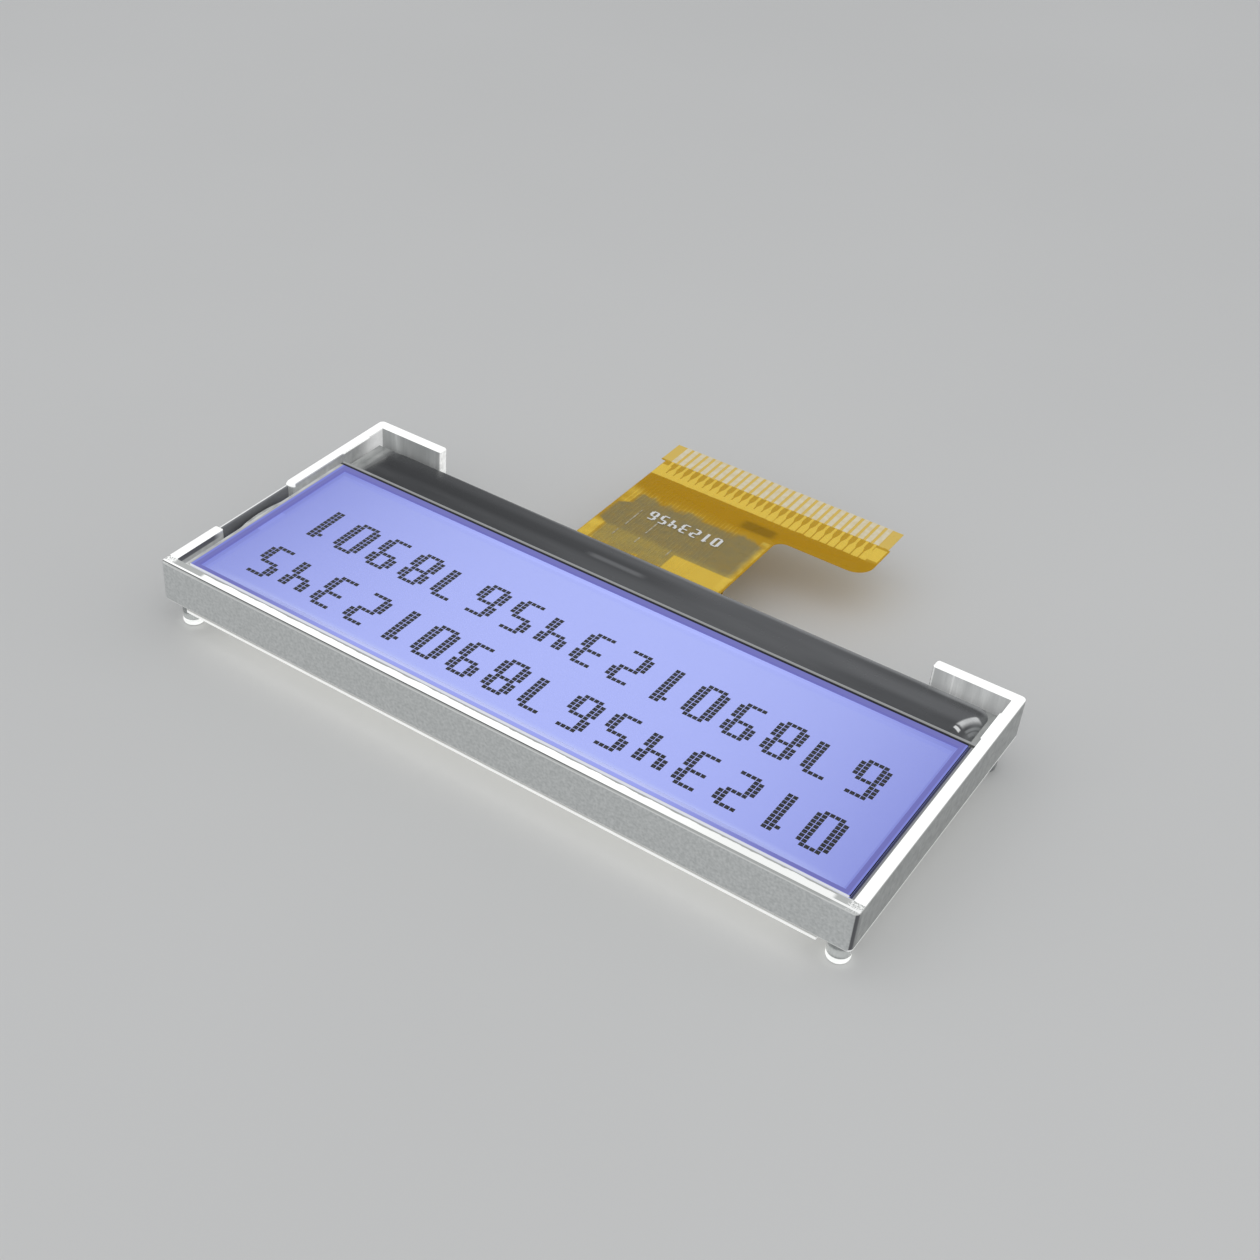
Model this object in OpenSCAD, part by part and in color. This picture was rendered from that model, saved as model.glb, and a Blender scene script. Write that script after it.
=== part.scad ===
// Backlit dot-matrix liquid crystal module with a chip on its glass and a flex tail.
// X runs along the rows as they are read, Y up the rows, Z out of the display.
// The origin is the middle of the four locating pegs, on the face of the board they stand in.

/* [Dot field] */
// Spacing of the dots, centre to centre
dot_pitch = 0.45; // [0.4:0.01:0.52]
// Characters in a row
row_chars = 16; // [14:1:20]
// Rows of characters
text_rows = 2; // [2:1:4]
// Plain border from the dots to the glue ring at each short end
border_side = 2.05; // [1.5:0.05:4]
// Plain border from the dots to the glue ring at the near edge
border_near = 1.45; // [1:0.05:4]
// Plain border from the dots to the glue ring at the ledge
border_far = 3.05; // [1:0.05:5]

/* [Glass cell] */
// Thickness of each pane
glass_t = 0.7; // [0.5:0.05:1.1]
// Gap between the panes, filled with liquid crystal
cell_gap = 0.05; // [0.03:0.005:0.1]
// Width of the glue ring at the short ends
seal_side = 1.05; // [0.5:0.05:2]
// Width of the glue ring at the near edge
seal_near = 0.75; // [0.4:0.05:2]
// Width of the glue ring at the ledge
seal_far = 1.25; // [0.5:0.05:2]
// Glass outside the glue ring
seal_inset = 0.25; // [0.1:0.05:0.5]
// Depth of the contact ledge of the rear pane
ledge_d = 5.15; // [4.6:0.05:8]
// Length of the fill port in the glue ring
port_l = 3.2; // [1.5:0.1:5]
// Length of the glue that bulges out of the fill port
plug_l = 6.4; // [5.2:0.1:8]
// How far that glue bulges out of the glass edge
plug_bulge = 0.42; // [0.2:0.02:0.55]
// Bare glass above and below that glue
plug_step = 0.12; // [0.05:0.01:0.2]

/* [Films] */
// Thickness of each polariser
polariser_t = 0.2; // [0.1:0.02:0.3]
// Bare front glass outside the polarisers at the short ends
polariser_side = 0.4; // [0.2:0.05:0.8]
// Bare front glass outside the polarisers at the near edge
polariser_near = 0.6; // [0.1:0.05:0.8]
// Bare front glass outside the polarisers at the ledge
polariser_far = 0.55; // [0.2:0.05:1]
// Thickness of the diffuser film
diffuser_t = 0.1; // [0.05:0.01:0.2]
// How far the diffuser film reaches past the front glass at the ledge
diffuser_far = 0.4; // [0.1:0.05:0.8]
// Clearance of the diffuser film to the walls
diffuser_clear = 0.25; // [0.1:0.05:0.5]
// Thickness of the reflector sheet
reflector_t = 0.25; // [0.1:0.01:0.4]
// Thickness of the tape above the reflector sheet
tape_t = 0.1; // [0.05:0.01:0.15]
// Width of that tape
tape_w = 2; // [1.6:0.1:4]
// Frame left bare past the reflector sheet at each short end
sheet_end = 2.7; // [2.2:0.1:3]
// Frame left bare past the reflector sheet at the far side
sheet_far = 0.5; // [0.2:0.1:1]
// Gap around the foam tape under the ledge
foam_set = 0.25; // [0.1:0.05:0.5]

/* [Frame] */
// Thickness of the light guide, the frame's floor
guide_t = 1.4; // [1.2:0.05:3]
// Thickness of the side walls
side_wall = 0.95; // [0.8:0.05:2]
// Thickness of the near wall
near_wall = 1.1; // [0.8:0.05:2]
// Thickness of the returns at the far corners
return_t = 1.1; // [0.8:0.05:2]
// Length of the returns
return_l = 7.9; // [6:0.1:9.5]
// How far the rim stands above the front film
rim_stand = 0.55; // [0.4:0.05:1]
// Clearance of the glass to the side walls
glass_clear = 0.2; // [0.15:0.01:0.4]
// Clearance of the glass to the near wall
near_clear = 0.15; // [0.05:0.01:0.4]
// Clearance of the ledge to the returns
far_clear = 0.7; // [0.4:0.05:1.5]
// Radius of the frame's upright corners
corner_r = 0.45; // [0.2:0.05:0.8]
// Bevel along the outer edge of the rim
rim_bevel = 0.12; // [0.05:0.01:0.2]
// Depth of the LED bay, from the frame's far side to the guide's edge
bay_d = 3.4; // [3:0.05:4]
// Thickness of the locating ribs beside the ledge
rib_t = 0.1; // [0.05:0.01:0.12]
// Length of those ribs
rib_l = 3.9; // [2:0.1:4.5]

/* [Side notch] */
// Length of the notch at the fill port
notch_l = 8.9; // [8.4:0.1:11]
// How far the rim is lowered in the notch
notch_drop = 0.35; // [0.15:0.05:0.8]
// Wall left outside the glue in the notch
notch_skin = 0.4; // [0.25:0.05:0.5]
// Distance from the middle of the dots to the middle of the notch
notch_shift = 0.5; // [0:0.1:1.5]

/* [Locating pegs] */
// Diameter of the pegs
peg_d = 1.9; // [1.4:0.1:2.2]
// Length of the pegs below the reflector sheet
peg_l = 2.5; // [1:0.05:3.5]
// Bevel at the peg ends
peg_bevel = 0.2; // [0.1:0.05:0.4]
// Peg axis from the frame's short ends
peg_inset_x = 1.5; // [1.3:0.1:2.6]
// Peg axis from the frame's long sides
peg_inset_y = 1.9; // [1.2:0.05:2.4]
// Flare at the root of a peg, within the height of the reflector sheet and its tape
peg_flare = 0.08; // [0.04:0.01:0.1]
// Straight shank between the board's face and the flare
flare_set = 0.05; // [0.02:0.01:0.08]
// Clearance of the reflector sheet around the flare
peg_clear = 0.1; // [0.05:0.01:0.12]

/* [LED strip] */
// Number of LEDs
led_n = 3; // [2:1:5]
// Width of an LED
led_w = 3.8; // [3:0.1:4.5]
// Depth of an LED
led_d = 1.1; // [0.8:0.05:1.4]
// Height of an LED
led_h = 0.9; // [0.6:0.05:1.2]
// Width of an LED's housing around its light window
led_rim = 0.2; // [0.1:0.05:0.25]
// Depth of the light window
led_window = 0.4; // [0.2:0.05:0.6]
// Gap between the LEDs and the guide's edge
led_gap = 0.05; // [0.02:0.01:0.2]
// Thickness of the LED strip
strip_t = 0.12; // [0.08:0.01:0.2]
// Depth of the LED strip
strip_d = 2.05; // [1.7:0.05:2.3]
// Bay left free past each end of the LED strip
strip_end = 4.9; // [1:0.1:6]
// Thickness of the solder under the LEDs
solder_t = 0.04; // [0.02:0.01:0.06]
// Reach of the solder past an LED's ends
solder_toe = 0.3; // [0.2:0.05:0.4]
// Width of the solder under each end of an LED
solder_w = 0.6; // [0.4:0.05:0.8]
// Width of the strip's tail
tail_w = 5.4; // [4:0.1:5.6]
// Lean of the rising part of the tail
tail_lean = 0.3; // [0.1:0.05:0.5]
// Reach of the tail under the main flex
tail_l = 1.5; // [1.2:0.1:2]
// Film between the ledge and the contacts for the tail
contact_set = 0.25; // [0.1:0.05:0.5]
// Diameter of the tail's two solder joints
joint_d = 0.9; // [0.6:0.05:1]

/* [Driver chip] */
// Length of the chip
chip_w = 10.6; // [8:0.1:14]
// Depth of the chip
chip_d = 1.1; // [0.8:0.05:1.3]
// Thickness of the chip
chip_t = 0.4; // [0.3:0.02:0.45]
// Glass between the front pane and the chip
chip_set = 1.5; // [1.1:0.05:1.7]
// Thickness of the conductive films
bond_t = 0.02; // [0.015:0.005:0.03]
// Overlap of the main flex on the ledge
bond_d = 1.5; // [1:0.05:1.7]

/* [Silicone bead] */
// Height of the bead's crest above the ledge
bead_h = 0.68; // [0.62:0.01:0.72]
// Height of the bead at the ledge's edge
bead_edge = 0.24; // [0.18:0.01:0.4]
// Distance of the crest from the front pane
bead_crest = 1.3; // [0.8:0.1:2]
// Glass left bare past the bead at each short end
bead_end = 1.75; // [1:0.05:3]
// Rounding of the bead's ends, seen from above
bead_r = 1.7; // [0.8:0.1:2]

/* [Main flex] */
// Thickness of the base film
film_t = 0.06; // [0.04:0.01:0.1]
// Thickness of the copper
copper_t = 0.02; // [0.015:0.005:0.03]
// Thickness of the cover film over the copper
coverlay_t = 0.05; // [0.04:0.01:0.08]
// Width of the neck
neck_w = 15.1; // [14:0.1:17]
// Length of the neck from the ledge to the flag
neck_l = 10.2; // [8:0.1:16]
// Middle of the neck from the middle of the module
neck_x = 1.72; // [0:0.02:3]
// Width of the flag
flag_w = 23.9; // [20:0.1:30]
// Depth of the flag
flag_d = 5; // [4.5:0.1:8]
// Rounding of the flag's free corner
flag_r = 1.8; // [0.5:0.1:2.5]
// Rounding where the flag meets the neck
neck_r = 1; // [0.3:0.1:2]
// Sideways step of the pad row against the flag
tab_shift = 0.35; // [0:0.05:0.5]
// Length of the tab that carries the pads, past the flag
tab_d = 3.2; // [2.5:0.1:4]
// Film beside the outer pads
tab_margin = 1.05; // [0.6:0.05:2]

/* [Pads and traces] */
// Number of pads
pad_n = 28; // [24:1:28]
// Spacing of the pads
pad_pitch = 0.8; // [0.7:0.01:0.85]
// Width of a pad
pad_w = 0.5; // [0.35:0.05:0.6]
// Length of a pad
pad_l = 3.1; // [2:0.1:3.5]
// Thickness of a pad
pad_t = 0.035; // [0.025:0.005:0.05]
// Width of a finger behind a pad
finger_w = 0.66; // [0.5:0.02:0.68]
// Length of a finger
finger_l = 1.2; // [0.8:0.1:1.6]
// Length of the taper of a finger towards its pad
taper_l = 0.7; // [0.4:0.1:1]
// Length of the link from the taper to the pad
link_l = 0.9; // [0.6:0.1:1.2]
// Width of a link
link_w = 0.26; // [0.15:0.01:0.35]
// Width of a trace
trace_w = 0.08; // [0.05:0.01:0.1]
// Spacing of the traces in the neck
trace_pitch = 0.4; // [0.3:0.01:0.42]
// Distance of the neck's first trace outside the first pad
trace_lead = 0.1; // [0.05:0.05:0.2]
// Share of the fan's depth over which the traces turn one after another
fan_share = 0.75; // [0.6:0.05:0.85]
// Width of the supply trace along the neck's edge
supply_w = 0.8; // [0.4:0.05:1]
// Film left bare outside the copper
copper_edge = 0.15; // [0.1:0.05:0.3]

/* [Marking] */
// Size of one square of the white digits
mark_pitch = 0.14; // [0.08:0.01:0.16]
// Number of white digits
mark_n = 7; // [3:1:8]
// Thickness of the white ink
ink_t = 0.015; // [0.01:0.005:0.03]
// Distance of the white digits from the ledge
mark_set = 6.5; // [5:0.1:8]

/* [Hidden] */
$fn = 64;
// Overrun of a cutting shape past the face that it cuts
over = 0.01;

// A character cell in dots, and each digit as bars [column, row from the top, columns, rows]
cell_cols = 8;
cell_rows = 16;
top_bar = [2, 2, 4, 1];
mid_bar = [2, 6, 4, 1];
low_bar = [2, 11, 4, 1];
left_up = [1, 3, 2, 3];
left_low = [1, 7, 2, 4];
right_up = [5, 3, 2, 3];
right_low = [5, 7, 2, 4];
left_all = [1, 3, 2, 8];
right_all = [5, 3, 2, 8];
stem = [3, 2, 2, 10];
flag_bar = [2, 3, 1, 1];
DIGITS = [
    [top_bar, left_all, right_all, low_bar],
    [stem, flag_bar],
    [top_bar, right_up, mid_bar, left_low, low_bar],
    [top_bar, right_up, mid_bar, right_low, low_bar],
    [left_up, right_up, mid_bar, right_low],
    [top_bar, left_up, mid_bar, right_low, low_bar],
    [top_bar, left_up, mid_bar, left_low, right_low, low_bar],
    [top_bar, right_all],
    [top_bar, left_up, right_up, mid_bar, left_low, right_low, low_bar],
    [top_bar, left_up, right_up, mid_bar, right_low, low_bar]
];

// Plan sizes, from the dots outwards
field_w = row_chars * cell_cols * dot_pitch;
field_d = text_rows * cell_rows * dot_pitch;
lc_w = field_w + 2 * border_side;
lc_d = field_d + border_near + border_far;
glass_w = lc_w + 2 * (seal_side + seal_inset);
front_d = lc_d + seal_near + seal_far + 2 * seal_inset;
rear_d = front_d + ledge_d;
frame_w = glass_w + 2 * (glass_clear + side_wall);
frame_d = near_wall + near_clear + rear_d + far_clear + return_t;

// Plan places
near_y = frame_d / 2;
far_y = -frame_d / 2;
inner_x = frame_w / 2 - side_wall;
inner_near_y = near_y - near_wall;
inner_far_y = far_y + return_t;
glass_x = glass_w / 2;
glass_near_y = inner_near_y - near_clear;
front_far_y = glass_near_y - front_d;
ledge_y = glass_near_y - rear_d;
lc_near_y = glass_near_y - seal_inset - seal_near;
lc_far_y = lc_near_y - lc_d;
field_y = lc_near_y - border_near - field_d / 2;
notch_y = field_y - notch_shift;
bay_x = frame_w / 2 - return_l;
guide_far_y = far_y + bay_d;
diffuser_far_y = front_far_y - diffuser_far;
peg_x = frame_w / 2 - peg_inset_x;
peg_y = frame_d / 2 - peg_inset_y;

// Heights, from the board's face up
floor_z = reflector_t + tape_t;
guide_z = floor_z + guide_t;
rear_polariser_z = guide_z + diffuser_t;
rear_z = rear_polariser_z + polariser_t;
ledge_z = rear_z + glass_t;
dots_z = ledge_z + cell_gap / 2;
front_z = ledge_z + cell_gap;
polariser_z = front_z + glass_t;
face_z = polariser_z + polariser_t;
wall_z = face_z + rim_stand;
flex_z = ledge_z + bond_t;
flex_top_z = flex_z + film_t;
cover_z = flex_top_z + copper_t;

// LED strip
strip_x = bay_x - strip_end;
led_face_y = guide_far_y - led_gap;
strip_far_y = led_face_y - strip_d;
led_step = (2 * strip_x - led_w - 2 * solder_toe) / (led_n - 1);
led_xs = [for (i = [0:led_n - 1]) (i - (led_n - 1) / 2) * led_step];
strip_z = floor_z + strip_t;
led_z = strip_z + solder_t;
tail_z = flex_z - copper_t - solder_t;
tail_rise_y = strip_far_y - strip_t / 2;
tail_end_y = ledge_y - far_clear - tail_l;

// Main flex
neck_left = neck_x - neck_w / 2;
neck_right = neck_x + neck_w / 2;
root_y = ledge_y + bond_d;
flag_y = ledge_y - neck_l;
tab_y = flag_y - flag_d;
pad_row_w = (pad_n - 1) * pad_pitch + pad_w;
tab_w = pad_row_w + 2 * tab_margin;
edge_y = tab_y - tab_d;
tab_x = neck_right - flag_w / 2 + tab_shift;
pad_end_y = edge_y + pad_l;
taper_y = pad_end_y + link_l;
finger_y = taper_y + taper_l;
finger_end_y = finger_y + finger_l;
pad_xs = [for (i = [0:pad_n - 1]) tab_x + ((pad_n - 1) / 2 - i) * pad_pitch];
neck_xs = [for (i = [0:pad_n - 1]) pad_xs[0] + trace_lead - i * trace_pitch];
// The traces fan out from the neck to the fingers, and the last one passes the flag's inner corner
fan_end_y = finger_end_y + finger_w;
fan_slope = (flag_y - copper_edge - trace_w - fan_end_y) / (neck_left - pad_xs[pad_n - 1]);
fan_y = fan_end_y + fan_slope * (neck_xs[pad_n - 1] - pad_xs[pad_n - 1]);
fan_ys = [for (i = [0:pad_n - 1]) fan_y - (fan_y - fan_end_y) * fan_share * (1 - i / (pad_n - 1))];
tail_x = neck_left + copper_edge + tail_w / 2;
contact_w = (tail_w - copper_edge) / 2;
contact_y = ledge_y - contact_set;

// A rectangle with round corners, about its middle
module round_box(w, d, r) {
    square([w - 2 * r, d], center = true);
    square([w, d - 2 * r], center = true);
    for (x = [-1, 1], y = [-1, 1])
        translate([x * (w / 2 - r), y * (d / 2 - r)]) circle(r);
}

// A rectangle from its lowest corner to its highest
module span(x0, y0, x1, y1) {
    translate([x0, y0]) square([x1 - x0, y1 - y0]);
}

// A plate between two heights, with the plan of its children
module plate(z0, z1) {
    translate([0, 0, z0]) linear_extrude(z1 - z0) children();
}

// A bar along X with its plan turned up into the YZ plane
module bar_x(x0, x1) {
    translate([x0, 0, 0]) rotate([90, 0, 90]) linear_extrude(x1 - x0) children();
}

// A digit in squares of the given size, from the top left corner of its cell
module digit(value, pitch) {
    for (bar = DIGITS[value])
        translate([bar[0] * pitch, -(bar[1] + bar[3]) * pitch])
            square([bar[2] * pitch, bar[3] * pitch]);
}

// Plan of the frame, seen from above
module frame_plan() {
    round_box(frame_w, frame_d, corner_r);
}

// One locating peg, from its bevelled end over its flare into the floor
module peg() {
    rotate_extrude()
        polygon([
            [0, -peg_l], [peg_d / 2 - peg_bevel, -peg_l], [peg_d / 2, peg_bevel - peg_l],
            [peg_d / 2, flare_set], [peg_d / 2 + peg_flare, floor_z],
            [peg_d / 2, floor_z + peg_flare], [0, floor_z + peg_flare]
        ]);
}

// A square bar on its edge, which bevels a straight edge of the rim
module bevel_bar(length) {
    rotate([45, 0, 0]) cube([length, rim_bevel * sqrt(2), rim_bevel * sqrt(2)], center = true);
}

module light_guide_frame() {
    color([0.86, 0.88, 0.88]) difference() {
        union() {
            plate(floor_z, guide_z) difference() {
                frame_plan();
                span(-bay_x, far_y - over, bay_x, guide_far_y);
            }
            plate(floor_z, wall_z) difference() {
                frame_plan();
                span(-inner_x, inner_far_y, inner_x, inner_near_y);
                span(-bay_x, far_y - over, bay_x, inner_far_y + over);
            }
            for (side = [-1, 1])
                plate(guide_z - over, wall_z)
                    translate([side * (inner_x - rib_t / 2), front_far_y - rib_l / 2])
                        square([rib_t + 2 * over, rib_l], center = true);
            for (x = [-peg_x, peg_x], y = [-peg_y, peg_y])
                translate([x, y, 0]) peg();
        }
        plate(wall_z - notch_drop, wall_z + over)
            translate([frame_w / 2, notch_y]) square([2 * side_wall + 2 * over, notch_l], center = true);
        plate(guide_z, wall_z + over)
            translate([inner_x, notch_y])
                square([2 * (side_wall - notch_skin), notch_l], center = true);
        for (y = [far_y, near_y])
            translate([0, y, wall_z]) bevel_bar(frame_w + 2 * over);
        for (x = [-frame_w / 2, frame_w / 2])
            translate([x, 0, wall_z]) rotate([0, 0, 90]) bevel_bar(frame_d + 2 * over);
    }
}

// Plan of the reflector sheet, flush with the near wall and cut clear of the pegs
module sheet_plan(inset) {
    sheet_x = frame_w / 2 - sheet_end;
    difference() {
        span(-sheet_x, far_y + sheet_far, sheet_x, near_y);
        for (x = [-peg_x, peg_x], y = [-peg_y, peg_y])
            translate([x, y]) circle(peg_d / 2 + peg_flare + peg_clear);
        if (inset > 0)
            span(inset - sheet_x, far_y + sheet_far + inset, sheet_x - inset, near_y - inset);
    }
}

module reflector_tape() {
    color([0.93, 0.93, 0.9]) plate(reflector_t, floor_z) sheet_plan(tape_w);
}

module reflector_sheet() {
    color([0.97, 0.97, 0.96]) plate(0, reflector_t) sheet_plan(0);
}

module diffuser_film() {
    x = inner_x - rib_t - diffuser_clear;
    color([0.95, 0.95, 0.97]) plate(guide_z, rear_polariser_z)
        span(-x, diffuser_far_y, x, inner_near_y - diffuser_clear);
}

module ledge_tape() {
    x = glass_x - bead_end;
    color([0.2, 0.2, 0.21]) plate(guide_z, rear_z)
        span(-x, guide_far_y + foam_set, x, diffuser_far_y - foam_set);
}

module led_flex() {
    color([0.85, 0.66, 0.22]) {
        plate(floor_z, strip_z) span(-strip_x, strip_far_y, strip_x, led_face_y);
        bar_x(tail_x - tail_w / 2, tail_x + tail_w / 2)
            polygon([
                [strip_far_y + strip_t, floor_z], [tail_rise_y, floor_z],
                [tail_rise_y - tail_lean, tail_z - strip_t], [tail_end_y, tail_z - strip_t],
                [tail_end_y, tail_z], [tail_rise_y - tail_lean + strip_t, tail_z],
                [tail_rise_y + strip_t, strip_z], [strip_far_y + strip_t, strip_z]
            ]);
    }
}

// Plan of one LED's light window, open to the guide
module window_plan() {
    span(led_rim - led_w / 2, led_face_y - led_window, led_w / 2 - led_rim, led_face_y);
}

module led_housings() {
    color([0.95, 0.95, 0.92]) for (x = led_xs)
        translate([x, 0, 0]) difference() {
            plate(led_z, led_z + led_h) span(-led_w / 2, led_face_y - led_d, led_w / 2, led_face_y);
            plate(led_z + led_rim, led_z + led_h - led_rim) window_plan();
        }
}

module led_phosphors() {
    color([0.96, 0.88, 0.3]) for (x = led_xs)
        translate([x, 0, 0]) plate(led_z + led_rim, led_z + led_h - led_rim) window_plan();
}

module led_solder() {
    color([0.78, 0.78, 0.8]) for (x = led_xs, side = [-1, 1])
        translate([x + side * led_w / 2, led_face_y - led_d / 2, 0]) {
            plate(strip_z, led_z) translate([-side * solder_w / 2, 0])
                square([solder_w, led_d], center = true);
            plate(strip_z, led_z + led_h / 3) translate([side * solder_toe / 2, 0])
                square([solder_toe, led_d], center = true);
        }
}

// Plan of both polarisers
module polariser_plan() {
    span(
        polariser_side - glass_x, front_far_y + polariser_far,
        glass_x - polariser_side, glass_near_y - polariser_near
    );
}

module rear_polariser() {
    color([0.42, 0.44, 0.62]) plate(rear_polariser_z, rear_z) polariser_plan();
}

module rear_glass() {
    color([0.66, 0.74, 0.74]) plate(rear_z, ledge_z) span(-glass_x, ledge_y, glass_x, glass_near_y);
}

// Plan of the liquid crystal, inside the glue ring
module lc_plan() {
    span(-lc_w / 2, lc_far_y, lc_w / 2, lc_near_y);
}

// Plan of the fill port, from the liquid crystal to the glass edge
module port_plan() {
    span(lc_w / 2, notch_y - port_l / 2, glass_x, notch_y + port_l / 2);
}

module cell_seal() {
    color([0.42, 0.42, 0.7]) plate(ledge_z, front_z) difference() {
        span(
            seal_inset - glass_x, front_far_y + seal_inset,
            glass_x - seal_inset, glass_near_y - seal_inset
        );
        lc_plan();
        port_plan();
    }
}

module end_seal() {
    arc_r = (pow(plug_l / 2, 2) + pow(plug_bulge, 2)) / (2 * plug_bulge);
    color([0.8, 0.83, 0.82]) {
        plate(ledge_z, front_z) port_plan();
        plate(rear_z + plug_step, polariser_z - plug_step) intersection() {
            translate([glass_x + plug_bulge - arc_r, notch_y]) circle(arc_r, $fn = 256);
            span(glass_x, notch_y - plug_l, glass_x + 2 * plug_bulge, notch_y + plug_l);
        }
    }
}

// Plan of the digits shown: one row counts up, the next counts on from it
module digits_plan() {
    for (row = [0:text_rows - 1], column = [0:row_chars - 1])
        translate([
            column * cell_cols * dot_pitch - field_w / 2,
            field_y + field_d / 2 - row * cell_rows * dot_pitch
        ])
            digit((row * row_chars + column) % 10, dot_pitch);
}

module liquid_crystal() {
    color([0.66, 0.7, 1]) difference() {
        plate(ledge_z, front_z) lc_plan();
        plate(dots_z, front_z + over) digits_plan();
    }
}

module dark_dots() {
    color([0.11, 0.12, 0.17]) plate(dots_z, front_z) digits_plan();
}

module front_glass() {
    color([0.7, 0.78, 0.78]) plate(front_z, polariser_z)
        span(-glass_x, front_far_y, glass_x, glass_near_y);
}

module front_polariser() {
    color([0.55, 0.58, 0.85]) plate(polariser_z, face_z) polariser_plan();
}

// Plan of the chip
module chip_plan() {
    chip_y = front_far_y - chip_set;
    span(neck_x - chip_w / 2, chip_y - chip_d, neck_x + chip_w / 2, chip_y);
}

module driver_chip() {
    color([0.34, 0.35, 0.37]) plate(flex_z, flex_z + chip_t) chip_plan();
}

module chip_bond() {
    color([0.72, 0.68, 0.55]) plate(ledge_z, flex_z) chip_plan();
}

module flex_bond() {
    color([0.72, 0.68, 0.55]) plate(ledge_z, flex_z) span(neck_left, ledge_y, neck_right, root_y);
}

// Section of the bead across the ledge: a flat foot under one arc
module bead_section() {
    reach = front_far_y - bead_crest - ledge_y;
    fall = bead_h - bead_edge;
    arc_r = (pow(reach, 2) + pow(fall, 2)) / (2 * fall);
    intersection() {
        span(ledge_y, ledge_z, front_far_y, ledge_z + bead_h);
        translate([front_far_y - bead_crest, ledge_z + bead_h - arc_r]) circle(arc_r, $fn = 360);
    }
}

module silicone_bead() {
    bead_x = glass_x - bead_end;
    color([0.2, 0.2, 0.21]) difference() {
        intersection() {
            bar_x(-bead_x, bead_x) bead_section();
            plate(ledge_z - over, ledge_z + bead_h + over)
                translate([0, (front_far_y + ledge_y) / 2]) round_box(2 * bead_x, ledge_d, bead_r);
        }
        plate(ledge_z - over, flex_z + chip_t) chip_plan();
        plate(ledge_z - over, cover_z + coverlay_t) flex_plan();
    }
}

// Plan of the main flex: neck, flag with one round corner, and the tab of the pads
module flex_plan() {
    flag_left = neck_right - flag_w;
    span(neck_left, tab_y, neck_right, root_y);
    span(flag_left, tab_y, neck_right, flag_y - flag_r);
    span(flag_left + flag_r, tab_y, neck_right, flag_y);
    translate([flag_left + flag_r, flag_y - flag_r]) circle(flag_r);
    difference() {
        span(neck_left - neck_r, flag_y - over, neck_left + over, flag_y + neck_r);
        translate([neck_left - neck_r, flag_y + neck_r]) circle(neck_r);
    }
    span(tab_x - tab_w / 2, edge_y, tab_x + tab_w / 2, tab_y + over);
}

module flex_base() {
    color([0.72, 0.55, 0.14]) plate(flex_z, flex_top_z) flex_plan();
}

// Offset of the trace's edge where it turns from straight down to the direction of the fan
function miter(turn, half) = half * [1, turn[0] / (1 - turn[1])];

// Plan of one trace: down the neck, across the fan, then its finger, taper and link to the pad
module trace_plan(from_x, turn_y, to_x) {
    slope = [to_x - from_x, fan_end_y - turn_y];
    turn = slope / norm(slope);
    side = miter(turn, trace_w / 2);
    top = [from_x, turn_y];
    foot = [to_x, fan_end_y];
    polygon([
        [from_x + trace_w / 2, root_y - copper_edge], top + side, foot + side,
        [to_x + trace_w / 2, finger_end_y], [to_x + finger_w / 2, finger_end_y],
        [to_x + finger_w / 2, finger_y], [to_x + link_w / 2, taper_y], [to_x + link_w / 2, pad_end_y],
        [to_x - link_w / 2, pad_end_y], [to_x - link_w / 2, taper_y], [to_x - finger_w / 2, finger_y],
        [to_x - finger_w / 2, finger_end_y], [to_x - trace_w / 2, finger_end_y],
        foot - side, top - side, [from_x - trace_w / 2, root_y - copper_edge]
    ]);
}

// Plan of the copper on the display's side of the base film
module top_copper_plan() {
    supply_x = neck_left + copper_edge;
    for (i = [0:pad_n - 1])
        trace_plan(neck_xs[i], fan_ys[i], pad_xs[i]);
    span(supply_x, flag_y + neck_r, supply_x + supply_w, contact_y);
}

module flex_copper() {
    color([0.87, 0.7, 0.3]) {
        plate(flex_top_z, cover_z) top_copper_plan();
        for (side = [-1, 1])
            plate(flex_z - copper_t, flex_z)
                translate([tail_x + side * (tail_w - contact_w) / 2, (contact_y + tail_end_y) / 2])
                    square([contact_w, contact_y - tail_end_y], center = true);
    }
}

module flex_coverlay() {
    color([0.8, 0.62, 0.18]) plate(cover_z, cover_z + coverlay_t) difference() {
        flex_plan();
        span(tab_x - tab_w, edge_y - over, tab_x + tab_w, pad_end_y);
    }
}

module flex_pads() {
    color([0.84, 0.79, 0.62]) for (x = pad_xs)
        plate(flex_top_z, flex_top_z + pad_t) span(x - pad_w / 2, edge_y, x + pad_w / 2, pad_end_y);
}

module flex_marking() {
    mark_w = mark_n * cell_cols * mark_pitch;
    ink_z = cover_z + coverlay_t;
    mark_y = ledge_y - mark_set + cell_rows * mark_pitch / 2;
    color([0.96, 0.96, 0.96]) plate(ink_z, ink_z + ink_t) for (i = [0:mark_n - 1])
        translate([neck_x - mark_w / 2 + i * cell_cols * mark_pitch, mark_y]) digit(i, mark_pitch);
}

module tail_solder() {
    color([0.78, 0.78, 0.8]) for (side = [-1, 1])
        translate([tail_x + side * (tail_w - contact_w) / 2, tail_end_y + tail_l / 2, tail_z])
            cylinder(h = solder_t, d = joint_d);
}

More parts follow.
